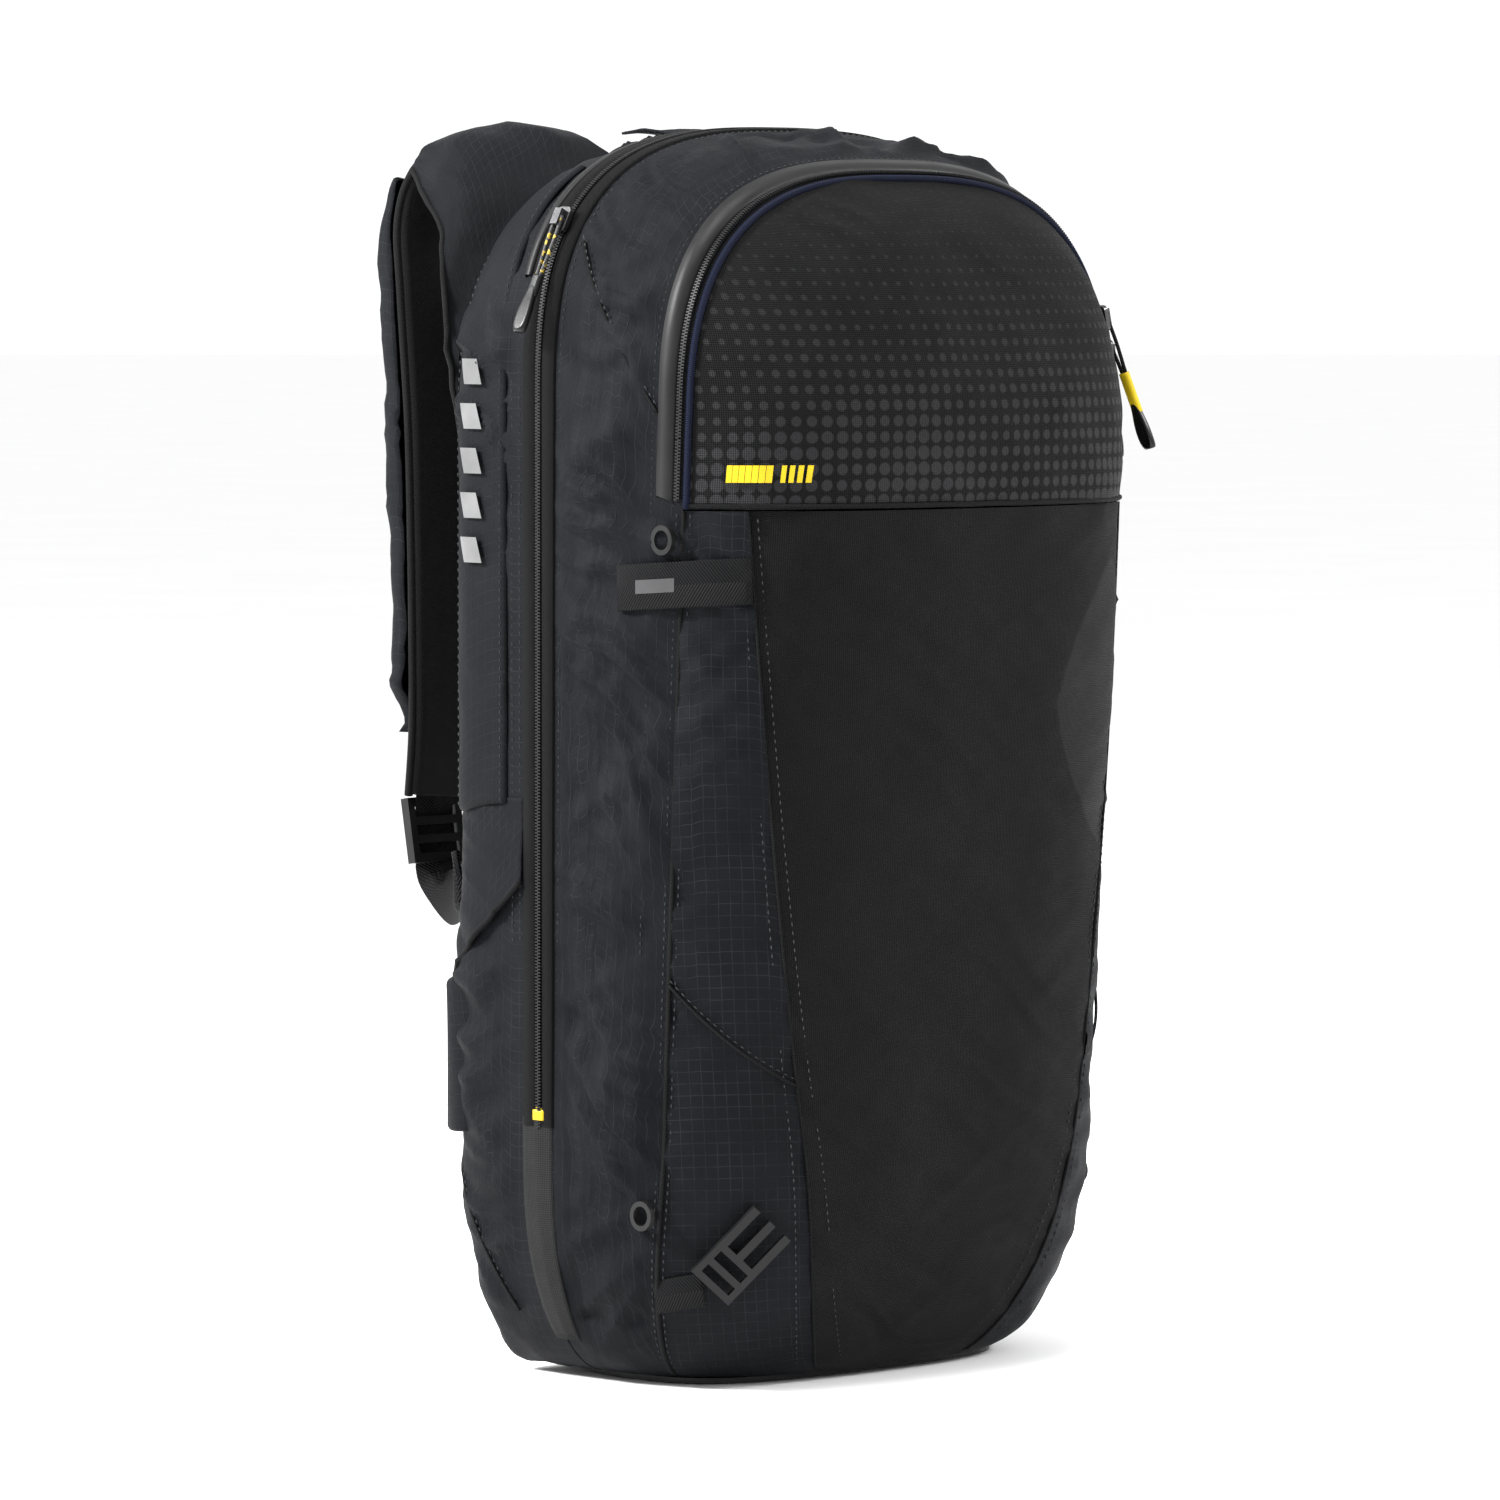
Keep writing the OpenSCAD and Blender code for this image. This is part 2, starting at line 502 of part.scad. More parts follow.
hip_z = 150;
hip_y = back_y + fit + lumbar_t + fit + hip_t / 2 + 1;
hip_line = spline([[-half_w - 2.4, base_d - 24, hip_z + 4], [-half_w + 2, base_d - 12, hip_z + 2],
  [-half_w + 13, base_d - 1.5, hip_z], [-half_w + 36, hip_y - 1, hip_z], [-80, hip_y, hip_z],
  [-36, hip_y, hip_z]], 3);
hip_heights = [for (i = [0 : 15]) hip_h * (1 - 0.38 * pow(i / 15, 2))];
module hip_wing(side) color(ripstop) mirrored(side)
  band(hip_line, constant(hip_line, [0, 0, 1]), hip_heights, constant(hip_line, hip_t), constant(hip_line, 0));
module hip_wing_left() hip_wing(-1);
module hip_wing_right() hip_wing(1);

buckle_t = 8;
buckle_h = 44;
buckle_at = [0, hip_y - 3, hip_z];
module hip_buckle_female() color(black) translate(buckle_at) difference() {
  translate([4, 0, -buckle_h / 2]) cube([30, buckle_t, buckle_h]);
  translate([3, 2, -15]) cube([22, 4, 30]);
}
module hip_buckle_male() color(black) translate(buckle_at) {
  translate([3.4, 2.4, -14.4]) cube([18, 3.2, 28.8]);
  difference() {
    translate([-34, 0, -buckle_h / 2]) cube([37.6, buckle_t, buckle_h]);
    translate([-29, -1, -16]) cube([5, buckle_t + 2, 32]);
  }
}

// ---------- ski strap, loops ----------

function on_side(side, y, z, off) = [side * (side_x(y, z) + off), depth_at(y, z), z];
ski_line = [on_side(-1, -98, 46, 3.9), on_side(-1, -105, 47, 4.3), on_side(-1, -113, 49, 5.2)];
module ski_webbing() color(black) plain_band(ski_line, [0, 0, 1], ski_w, webbing_t);
ski_a = on_side(-1, -116, 51, 6);
ski_b = on_side(-1, -138, 88, 9);
ski_ex = unit(ski_b - ski_a);
ski_out = unit([-0.72, -0.66, -0.3]);
ski_ez = unit(ski_out - (ski_out * ski_ex) * ski_ex);
ski_frame = ski_w + 8;
ski_frame_l = 20;
prong_l = 22;
module ski_buckle() color(black) placed(ski_a, ski_ex, ski_ez) {
  linear_extrude(4) difference() {
    translate([0, -ski_frame / 2]) square([ski_frame_l, ski_frame]);
    translate([3.5, -ski_w / 2 - 0.8]) square([4.5, ski_w + 1.6]);
    translate([11.5, -ski_w / 2 - 0.8]) square([5, ski_w + 1.6]);
  }
  for (s = [-1, 0, 1]) translate([ski_frame_l, s * (ski_frame / 2 - 2) - 2, 0]) cube([prong_l, 4, 4]);
}

label_z = flap_z - 37;
label_line = [for (i = [0 : 6]) let (y = -54 - 62 * i / 6) on_side(-1, y, label_z + 4 * i / 6, 4)];
module label_loop() color(black) plain_band(label_line, [0, 0, 1], 22, 2.4);

loop_r = 7;
module gear_loops() color(black) for (s = [-1, 1], z = [84, flap_z - 14]) {
  at = on_side(s, -zip_d + 7, z, 2.4);
  translate(at) rotate([0, s * 90, 0]) difference() {
    cylinder(r = loop_r, h = 2.6, $fn = 36);
    translate([0, 0, -1]) cylinder(r = loop_r - 2.4, h = 5, $fn = 36);
  }
}

// ---------- airbag system, inside the base unit ----------

fan_at = [0, 35, 270];
case_wall = 2;
fan_r = impeller_dia / 2 + impeller_gap;
case_r = fan_r + 5;
case_half = fan_depth / 2;
airbag_line = spline([[-106, 34, 330], [-110, 34, 420], [-96, 34, 490], [-50, 34, 528], [0, 34, 534],
  [50, 34, 528], [96, 34, 490], [110, 34, 420], [106, 34, 330]], 3);
module airbag_folded() color("orangered") plain_band(airbag_line, [0, 1, 0], 44, 40);

duct_z = fan_at.z + case_r + fit;
duct_top = 510;
duct_wall = 1.6;
valve_z = duct_z + 22;
valve_y = fan_at.y + duct_dia / 2 - 5.4;
module outlet_duct() color([0.3, 0.3, 0.32]) difference() {
  translate([fan_at.x, fan_at.y, duct_z]) cylinder(d = duct_dia, h = duct_top - duct_z, $fn = 48);
  translate([fan_at.x, fan_at.y, duct_z - 1]) cylinder(d = duct_dia - 2 * duct_wall, h = 400, $fn = 48);
  translate([0, valve_y, valve_z]) rotate([0, 90, 0]) cylinder(d = pin_dia + 2 * slip, h = 60, center = true, $fn = 24);
}
screw_z = [0.34, 0.92];
module fan_case(y0, y1, wall_y, hole_r) difference() {
  union() {
    translate([0, y0, 0]) rotate([-90, 0, 0]) cylinder(r = case_r, h = y1 - y0, $fn = 72);
    translate([-case_r, y0, 0]) cube([2 * case_r, y1 - y0, case_r]);
  }
  translate([0, wall_y, 0]) rotate([-90, 0, 0]) cylinder(r = fan_r, h = case_half - case_wall + 1, $fn = 72);
  translate([0, y0 - 1, 0]) rotate([-90, 0, 0]) cylinder(r = hole_r, h = y1 - y0 + 2, $fn = 64);
  for (x = [-1, 1], z = screw_z) translate([x * (case_r - 3), y0 - 1, z * case_r]) rotate([-90, 0, 0])
    cylinder(d = 3.2, h = y1 - y0 + 2, $fn = 20);
  cylinder(d = duct_dia - 2 * duct_wall, h = 200, $fn = 48);
}
module fan_housing_front() color([0.15, 0.15, 0.16]) translate(fan_at)
  fan_case(-case_half, -0.1, -case_half + case_wall, 28);
module fan_housing_rear() color([0.15, 0.15, 0.16]) translate(fan_at) fan_case(0.1, case_half, -1, motor_r + 0.3);
module housing_screws() color("silver") translate(fan_at) for (x = [-1, 1], z = screw_z)
  translate([x * (case_r - 3), -case_half - 1.8, z * case_r]) rotate([-90, 0, 0]) {
    cylinder(d = 5.6, h = 1.7, $fn = 24);
    translate([0, 0, 1.7]) cylinder(d = 3.1, h = fan_depth - 8, $fn = 20);
  }
// The rotor turns about the Y axis; local Z points to the front, -Y.
blade_n = 11;
motor_r = 17;
module about_rotor() translate(fan_at) rotate([90, 0, 0]) children();
module impeller() color("dimgray") about_rotor() difference() {
  union() {
    translate([0, 0, -10]) cylinder(r = impeller_dia / 2, h = 2, $fn = 72);
    translate([0, 0, -8]) cylinder(r = 11, h = 20, $fn = 40);
    for (i = [0 : blade_n - 1]) rotate([0, 0, 360 * i / blade_n]) translate([10, -0.8, -8])
      rotate([0, 0, 26]) cube([impeller_dia / 2 - 13, 1.6, 17]);
  }
  translate([0, 0, -30]) cylinder(d = shaft_dia + 2 * slip, h = 60, $fn = 32);
}
module motor_shaft() color("silver") about_rotor() translate([0, 0, -28]) cylinder(d = shaft_dia, h = 38, $fn = 32);
bearing_z = [-26.6, -14.9];
module shaft_bearings() color("silver") about_rotor() for (z = bearing_z) translate([0, 0, z]) difference() {
  cylinder(d = bearing_dia, h = 4, $fn = 40);
  translate([0, 0, -1]) cylinder(d = shaft_dia + 2 * slip, h = 6, $fn = 32);
}
module motor_can() color([0.2, 0.2, 0.22]) about_rotor() difference() {
  translate([0, 0, -27]) cylinder(r = motor_r, h = 16.4, $fn = 56);
  translate([0, 0, -28]) cylinder(d = bearing_dia + 0.02, h = 5.5, $fn = 40);
  translate([0, 0, -15]) cylinder(d = bearing_dia + 0.02, h = 6, $fn = 40);
  translate([0, 0, -28]) cylinder(d = shaft_dia + 3, h = 20, $fn = 32);
}
module intake_grille() color(black) translate(fan_at + [0, -case_half - 2.3, 0]) rotate([-90, 0, 0]) {
  difference() {
    cylinder(r = 31, h = 2, $fn = 64);
    translate([0, 0, -1]) cylinder(r = 27, h = 4, $fn = 64);
  }
  for (i = [-3 : 3]) translate([-sqrt(28 * 28 - 58 * i * i), i * 7.6 - 0.7, 0.3])
    cube([2 * sqrt(28 * 28 - 58 * i * i), 1.4, 1.4]);
}
module check_valve_pin() color("silver") translate([0, valve_y, valve_z]) rotate([0, 90, 0])
  cylinder(d = pin_dia, h = 25, center = true, $fn = 24);
module check_valve_flap() color("dimgray") translate([0, valve_y, valve_z]) difference() {
  union() {
    rotate([0, 90, 0]) cylinder(d = 4.4, h = 10, center = true, $fn = 32);
    translate([0, -13, -0.8]) cylinder(r = 13, h = 1.6, $fn = 48);
  }
  rotate([0, 90, 0]) cylinder(d = pin_dia + 2 * slip, h = 60, center = true, $fn = 24);
}
battery_size = [92, 34, 62];
module battery_pack() color([0.1, 0.25, 0.35]) translate([-62, 36, 92]) rounded_box(battery_size, 6);
controller_at = [54, 36, 92];
module controller_box() color([0.15, 0.15, 0.16]) difference() {
  translate(controller_at) rounded_box([74, 30, 84], 5);
  translate([controller_at.x, controller_at.y - 16, button_z]) rotate([-90, 0, 0])
    cylinder(d = button_dia + 2 * slip, h = 7, $fn = 40);
}
button_z = 138;
module power_button() color("gold") translate([controller_at.x, controller_at.y - 17, button_z])
  rotate([-90, 0, 0]) cylinder(d = button_dia, h = 5, $fn = 40);

base_plate();
base_shell();
base_divider();
booster_gusset();
booster_side_panel();
front_panel();
front_flap();
main_zip_tapes();
main_zip_coil();
main_zip_slider();
main_zip_pull();
cover_zip_tape();
pocket_zip_tape();
pocket_zip_coil();
pocket_slider_upper();
pocket_pull_upper();
pocket_slider_lower();
pocket_pull_lower();
cover_flap_left();
cover_flap_right();
frame_sheet();
frame_stays();
back_pads();
lumbar_pad();
haul_loop();
strap_left();
strap_right();
strap_sleeve_left();
strap_sleeve_right();
strap_yoke_left();
strap_yoke_right();
ladder_lock_left();
ladder_lock_right();
lower_webbing_left();
lower_webbing_right();
trigger_handle();
trigger_button();
hip_wing_left();
hip_wing_right();
hip_buckle_female();
hip_buckle_male();
ski_webbing();
ski_buckle();
label_loop();
gear_loops();
airbag_folded();
outlet_duct();
fan_housing_front();
fan_housing_rear();
housing_screws();
impeller();
motor_shaft();
shaft_bearings();
motor_can();
intake_grille();
check_valve_flap();
check_valve_pin();
battery_pack();
controller_box();
power_button();
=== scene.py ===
"""Visual model of an avalanche airbag backpack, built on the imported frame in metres."""
from __future__ import annotations

import json
import logging
import math
from dataclasses import dataclass
from enum import Enum
from typing import Callable, Iterable, Sequence

import bmesh
import bpy
import numpy as np
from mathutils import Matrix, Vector, noise

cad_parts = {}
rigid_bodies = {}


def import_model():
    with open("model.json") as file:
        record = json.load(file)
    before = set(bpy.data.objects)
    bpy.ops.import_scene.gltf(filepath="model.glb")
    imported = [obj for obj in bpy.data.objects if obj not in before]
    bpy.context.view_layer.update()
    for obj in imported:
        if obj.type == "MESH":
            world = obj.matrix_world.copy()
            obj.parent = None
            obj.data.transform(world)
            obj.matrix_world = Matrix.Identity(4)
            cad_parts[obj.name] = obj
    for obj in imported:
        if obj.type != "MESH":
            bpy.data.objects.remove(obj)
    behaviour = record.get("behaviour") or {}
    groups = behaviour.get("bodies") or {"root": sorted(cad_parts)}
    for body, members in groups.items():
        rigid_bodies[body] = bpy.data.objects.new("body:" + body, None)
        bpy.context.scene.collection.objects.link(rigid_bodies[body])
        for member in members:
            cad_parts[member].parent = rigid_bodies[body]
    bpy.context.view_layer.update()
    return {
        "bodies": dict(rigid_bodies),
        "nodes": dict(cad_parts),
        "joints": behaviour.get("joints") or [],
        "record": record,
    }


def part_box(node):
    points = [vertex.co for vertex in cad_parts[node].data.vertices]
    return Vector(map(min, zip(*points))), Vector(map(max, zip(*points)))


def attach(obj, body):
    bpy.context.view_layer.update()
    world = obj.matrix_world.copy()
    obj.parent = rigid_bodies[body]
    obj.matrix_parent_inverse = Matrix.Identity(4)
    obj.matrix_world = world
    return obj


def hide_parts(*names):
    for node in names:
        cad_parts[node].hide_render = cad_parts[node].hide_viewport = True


LOG = logging.getLogger("airbag_pack")
MM = 0.001
Array = np.ndarray


class Side(Enum):
    """The wearer's side that a mirrored piece belongs to."""

    LEFT = -1
    RIGHT = 1


# ---------------------------------------------------------------- finishes


class NodeBoard:
    """A material's node tree with short ways to add and join nodes."""

    def __init__(self, name: str) -> None:
        """Start a material of this name with a lone principled shader."""
        self.material = bpy.data.materials.new(name)
        self.material.use_nodes = True
        self.tree = self.material.node_tree
        self.shader = self.tree.nodes["Principled BSDF"]

    def add(self, kind: str, **settings: object) -> bpy.types.Node:
        """Add a node.

        Args:
            kind: the node's Blender type.
            settings: attributes to set on it.

        Returns:
            The new node.
        """
        node = self.tree.nodes.new(kind)
        for key, value in settings.items():
            setattr(node, key, value)
        return node

    def plug(self, value: object, socket: bpy.types.NodeSocket) -> None:
        """Join an output to a socket, or set the socket's own value."""
        if isinstance(value, bpy.types.NodeSocket):
            self.tree.links.new(value, socket)
        else:
            socket.default_value = value

    def math(self, operation: str, *inputs: object, clamp: bool = False) -> bpy.types.NodeSocket:
        """Do arithmetic on up to three values.

        Args:
            operation: the Math node's operation.
            inputs: numbers or sockets.
            clamp: keep the result between 0 and 1.

        Returns:
            The result socket.
        """
        node = self.add("ShaderNodeMath", operation=operation, use_clamp=clamp)
        for socket, value in zip(node.inputs, inputs):
            self.plug(value, socket)
        return node.outputs[0]

    def coords(self, use_uv: bool) -> bpy.types.NodeSocket:
        """Give the piece's own UV map or its Object coordinates."""
        node = self.add("ShaderNodeTexCoord")
        return node.outputs["UV" if use_uv else "Object"]

    def split(self, vector: bpy.types.NodeSocket) -> Sequence[bpy.types.NodeSocket]:
        """Split a vector into its three parts."""
        node = self.add("ShaderNodeSeparateXYZ")
        self.plug(vector, node.inputs[0])
        return node.outputs

    def noise(self, vector: bpy.types.NodeSocket, scale: float, detail: float = 3.0) -> bpy.types.NodeSocket:
        """Give a smooth noise value over a vector.

        Args:
            vector: where the noise is read.
            scale: features to a metre.
            detail: number of finer layers.

        Returns:
            The noise's value socket.
        """
        node = self.add("ShaderNodeTexNoise")
        self.plug(vector, node.inputs["Vector"])
        node.inputs["Scale"].default_value = scale
        node.inputs["Detail"].default_value = detail
        return node.outputs[0]

    def mix(self, share: object, a: Sequence[float] | bpy.types.NodeSocket,
            b: Sequence[float] | bpy.types.NodeSocket) -> bpy.types.NodeSocket:
        """Mix two colours.

        Args:
            share: how much of b, from 0 to 1.
            a: first colour.
            b: second colour.

        Returns:
            The mixed colour's socket.
        """
        node = self.add("ShaderNodeMix", data_type="RGBA")
        self.plug(share, node.inputs[0])
        self.plug(a if isinstance(a, bpy.types.NodeSocket) else (*a, 1.0), node.inputs[6])
        self.plug(b if isinstance(b, bpy.types.NodeSocket) else (*b, 1.0), node.inputs[7])
        return node.outputs[2]

    def span(self, value: bpy.types.NodeSocket, low: float, high: float,
             out_low: float = 0.0, out_high: float = 1.0) -> bpy.types.NodeSocket:
        """Map a range of a value onto another range, clamped."""
        node = self.add("ShaderNodeMapRange")
        for socket, number in zip(node.inputs, (value, low, high, out_low, out_high)):
            self.plug(number, socket)
        return node.outputs[0]

    def lines(self, value: bpy.types.NodeSocket, pitch: float, width: float) -> bpy.types.NodeSocket:
        """Give 1 on lines that repeat every pitch metres and are width metres wide."""
        turn = self.math("FRACT", self.math("DIVIDE", value, pitch))
        off = self.math("ABSOLUTE", self.math("SUBTRACT", turn, 0.5))
        edge = 0.5 * width / pitch
        return self.span(off, edge * 1.4, edge * 0.6)

    def finish(self, color: object, rough: object, height: bpy.types.NodeSocket | None = None,
               depth: float = 0.0003, **constants: float) -> bpy.types.Material:
        """Join colour, roughness and bump to the shader.

        Args:
            color: base colour, a socket or three numbers.
            rough: roughness, a socket or a number.
            height: bump height from 0 to 1.
            depth: height of the bump in metres.
            constants: values set on the shader's own sockets, with _ for a space.

        Returns:
            The finished material.
        """
        self.plug(color if isinstance(color, bpy.types.NodeSocket) else (*color, 1.0),
                  self.shader.inputs["Base Color"])
        self.plug(rough, self.shader.inputs["Roughness"])
        if height is not None:
            bump = self.add("ShaderNodeBump")
            bump.inputs["Strength"].default_value = 1.0
            bump.inputs["Distance"].default_value = depth
            self.plug(height, bump.inputs["Height"])
            self.plug(bump.outputs[0], self.shader.inputs["Normal"])
        for key, value in constants.items():
            self.shader.inputs[key.replace("_", " ")].default_value = value
        return self.material


@dataclass(frozen=True)
class Ripstop:
    """Light woven nylon with a raised grid of thicker threads."""

    name: str
    color: tuple[float, float, float]
    grid_color: tuple[float, float, float]
    cell: float = 5.6 * MM
    thread: float = 0.45 * MM
    grid_share: float = 0.55
    rough: float = 0.56

    def build(self) -> bpy.types.Material:
        """Make the material on the piece's UV map, which is in metres."""
        b = NodeBoard(self.name)
        uv = b.coords(True)
        u, v, _ = b.split(uv)
        grid = b.math("MAXIMUM", b.lines(u, self.cell, self.thread), b.lines(v, self.cell, self.thread))
        obj = b.coords(False)
        patch = b.span(b.noise(obj, 9.0, 4.0), 0.35, 0.65)
        broken = b.span(b.noise(obj, 70.0, 2.0), 0.38, 0.62, 0.25, 1.0)
        share = b.math("MULTIPLY", b.math("MULTIPLY", grid, self.grid_share), broken)
        lighter = tuple(min(1.0, c * 1.28) for c in self.color)
        base = b.mix(patch, self.color, lighter)
        color = b.mix(share, base, self.grid_color)
        weave = b.math("MULTIPLY", b.math("SINE", b.math("MULTIPLY", u, math.tau / (0.62 * MM))),
                       b.math("SINE", b.math("MULTIPLY", v, math.tau / (0.62 * MM))))
        creases = b.noise(obj, 46.0, 5.0)
        height = b.math("ADD", b.math("ADD", b.math("MULTIPLY", weave, 0.03), b.math("MULTIPLY", grid, 0.12)),
                        b.math("MULTIPLY", creases, 0.9))
        rough = b.span(b.noise(obj, 30.0, 3.0), 0.3, 0.7, self.rough - 0.07, self.rough + 0.08)
        return b.finish(color, rough, height, 1.3 * MM, Sheen_Weight=0.0, Sheen_Roughness=0.5,
                        Specular_IOR_Level=0.045)


@dataclass(frozen=True)
class BallisticWeave:
    """Heavy black nylon with a visible diagonal basket weave, with optional printed marks."""

    name: str
    color: tuple[float, float, float]
    pitch: float = 2.1 * MM
    rough: float = 0.66
    dots: bool = False
    lozenge: bool = False

    def build(self) -> bpy.types.Material:
        """Make the material on the piece's UV map, which is in metres."""
        b = NodeBoard(self.name)
        uv = b.coords(True)
        obj = b.coords(False)
        u, v, _ = b.split(uv)
        diagonal = b.math("ADD", u, v)
        other = b.math("SUBTRACT", u, v)
        one = b.math("SINE", b.math("MULTIPLY", diagonal, math.tau / self.pitch))
        two = b.math("SINE", b.math("MULTIPLY", other, math.tau / self.pitch))
        weave = b.math("MULTIPLY", one, two)
        lit = b.span(weave, -0.6, 0.9)
        slub = b.span(b.noise(obj, 120.0, 2.0), 0.3, 0.7, 0.6, 1.25)
        light = tuple(c * 1.75 for c in self.color)
        color = b.mix(b.math("MULTIPLY", lit, slub), self.color, light)
        rough: object = b.span(b.noise(obj, 22.0, 4.0), 0.3, 0.7, self.rough - 0.06, self.rough + 0.08)
        if self.dots:
            color, rough = self._dots(b, u, v, color, rough)
        if self.lozenge:
            color, rough = self._lozenge(b, obj, color, rough)
        broad = b.math("MULTIPLY", b.noise(obj, 30.0, 5.0), 0.9)
        height = b.math("ADD", b.math("MULTIPLY", weave, 0.2), broad)
        return b.finish(color, rough, height, 0.8 * MM, Sheen_Weight=0.01, Sheen_Roughness=0.5,
                        Specular_IOR_Level=0.045)

    @staticmethod
    def _dots(b: NodeBoard, u: object, v: object, color: object, rough: object) -> tuple[object, object]:
        """Add a halftone of glossy dots that grow towards the hem.

        Args:
            b: the material's board.
            u: across the panel in metres.
            v: height above the hem in metres.
            color: colour so far.
            rough: roughness so far.

        Returns:
            The new colour and roughness.
        """
        pitch = 7.4 * MM
        cu = b.math("SUBTRACT", b.math("FRACT", b.math("DIVIDE", u, pitch)), 0.5)
        cv = b.math("SUBTRACT", b.math("FRACT", b.math("DIVIDE", v, pitch)), 0.5)
        radius = b.math("SQRT", b.math("ADD", b.math("MULTIPLY", cu, cu), b.math("MULTIPLY", cv, cv)))
        row = b.math("MULTIPLY", b.math("FLOOR", b.math("DIVIDE", v, pitch)), pitch)
        column = b.math("MULTIPLY", b.math("FLOOR", b.math("DIVIDE", u, pitch)), pitch)
        cell = b.add("ShaderNodeCombineXYZ")
        b.plug(column, cell.inputs[0])
        b.plug(row, cell.inputs[1])
        drift = b.span(b.noise(cell.outputs[0], 17.0, 1.0), 0.25, 0.75, 0.55, 1.15)
        size = b.math("MULTIPLY", b.span(row, 0.0, 0.135, 0.47, 0.12), drift)
        dot = b.span(b.math("SUBTRACT", radius, size), 0.05, -0.05)
        fade = b.span(v, 0.012, 0.15, 0.95, 0.3)
        share = b.math("MULTIPLY", dot, fade)
        shine = b.math("SUBTRACT", rough, b.math("MULTIPLY", share, 0.2))
        return b.mix(share, color, (0.017, 0.017, 0.018)), shine

    @staticmethod
    def _lozenge(b: NodeBoard, obj: object, color: object, rough: object) -> tuple[object, object]:
        """Add a plain faint lozenge print near the panel's right edge.

        Args:
            b: the material's board.
            obj: the piece's Object coordinates.
            color: colour so far.
            rough: roughness so far.

        Returns:
            The new colour and roughness.
        """
        x, _, z = b.split(obj)
        across = b.math("ABSOLUTE", b.math("DIVIDE", b.math("SUBTRACT", x, 0.104), 0.052))
        along = b.math("ABSOLUTE", b.math("DIVIDE", b.math("SUBTRACT", z, 0.318), 0.068))
        rim = b.math("ADD", b.math("POWER", across, 1.35), b.math("POWER", along, 1.35))
        inside = b.span(rim, 1.03, 0.97)
        share = b.math("MULTIPLY", inside, 0.75)
        shine = b.math("SUBTRACT", rough, b.math("MULTIPLY", share, 0.1))
        return b.mix(share, color, (0.011, 0.011, 0.0115)), shine


@dataclass(frozen=True)
class FoamMesh:
    """Knitted face over foam."""

    name: str
    color: tuple[float, float, float] = (0.005, 0.005, 0.0052)
    pitch: float = 1.7 * MM
    rough: float = 0.78

    def build(self) -> bpy.types.Material:
        """Make the material on the piece's UV map, which is in metres."""
        b = NodeBoard(self.name)
        u, v, _ = b.split(b.coords(True))
        obj = b.coords(False)
        holes = b.math("MULTIPLY", b.math("SINE", b.math("MULTIPLY", u, math.tau / self.pitch)),
                       b.math("SINE", b.math("MULTIPLY", v, math.tau / self.pitch)))
        share = b.span(holes, -0.2, 0.8)
        color = b.mix(share, tuple(c * 1.6 for c in self.color), tuple(c * 0.5 for c in self.color))
        uneven = b.math("MULTIPLY", b.noise(obj, 60.0, 3.0), 0.6)
        height = b.math("ADD", b.math("MULTIPLY", holes, -0.25), uneven)
        return b.finish(color, self.rough, height, 0.7 * MM, Sheen_Weight=0.02, Sheen_Roughness=0.5,
                        Specular_IOR_Level=0.045)


@dataclass(frozen=True)
class Webbing:
    """Flat woven tape with ribs across it."""

    name: str
    color: tuple[float, float, float] = (0.0045, 0.0045, 0.0048)
    rib: float = 1.5 * MM
    rough: float = 0.6

    def build(self) -> bpy.types.Material:
        """Make the material on the piece's UV map: u across, v along, in metres."""
        b = NodeBoard(self.name)
        u, v, _ = b.split(b.coords(True))
        chevron = b.math("ADD", v, b.math("MULTIPLY", b.math("ABSOLUTE", u), 0.7))
        ribs = b.math("SINE", b.math("MULTIPLY", chevron, math.tau / self.rib))
        color = b.mix(b.span(ribs, -0.8, 1.0), self.color, tuple(c * 2.1 for c in self.color))
        height = b.math("ADD", ribs, b.math("MULTIPLY", b.noise(b.coords(False), 500.0, 2.0), 0.6))
        return b.finish(color, self.rough, height, 0.22 * MM, Sheen_Weight=0.0, Sheen_Roughness=0.5,
                        Specular_IOR_Level=0.045)


@dataclass(frozen=True)
class Moulded:
    """Moulded plastic or coated metal with a fine grain and a patchy lighter tone."""

    name: str
    color: tuple[float, float, float]
    rough: float = 0.38
    grain: float = 900.0
    metallic: float = 0.0
    coat: float = 0.0

    def build(self) -> bpy.types.Material:
        """Make the material on Object coordinates."""
        b = NodeBoard(self.name)
        obj = b.coords(False)
        fine = b.noise(obj, self.grain, 2.0)
        broad = b.noise(obj, 45.0, 4.0)
        light = tuple(min(1.0, c * 1.35 + 0.002) for c in self.color)
        color = b.mix(b.span(broad, 0.35, 0.7), self.color, light)
        rough = b.span(broad, 0.3, 0.7, self.rough - 0.08, self.rough + 0.1)
        return b.finish(color, rough, fine, 0.06 * MM, Metallic=self.metallic, Coat_Weight=self.coat,
                        Specular_IOR_Level=0.2,
                        Coat_Roughness=0.15)


@dataclass(frozen=True)
class SpeckledCord:
    """Black cord with yellow flecks in its braid."""

    name: str = "speckled_cord"
    black: tuple[float, float, float] = (0.012, 0.012, 0.012)
    yellow: tuple[float, float, float] = (0.3, 0.21, 0.01)

    def build(self) -> bpy.types.Material:
        """Make the material on Object coordinates."""
        b = NodeBoard(self.name)
        cells = b.add("ShaderNodeTexVoronoi")
        cells.inputs["Scale"].default_value = 620.0
        b.plug(b.coords(False), cells.inputs["Vector"])
        red = b.add("ShaderNodeSeparateColor")
        b.plug(cells.outputs["Color"], red.inputs[0])
        fleck = b.math("GREATER_THAN", red.outputs[0], 0.84)
        return b.finish(b.mix(fleck, self.black, self.yellow), 0.6, cells.outputs["Distance"], 0.3 * MM)


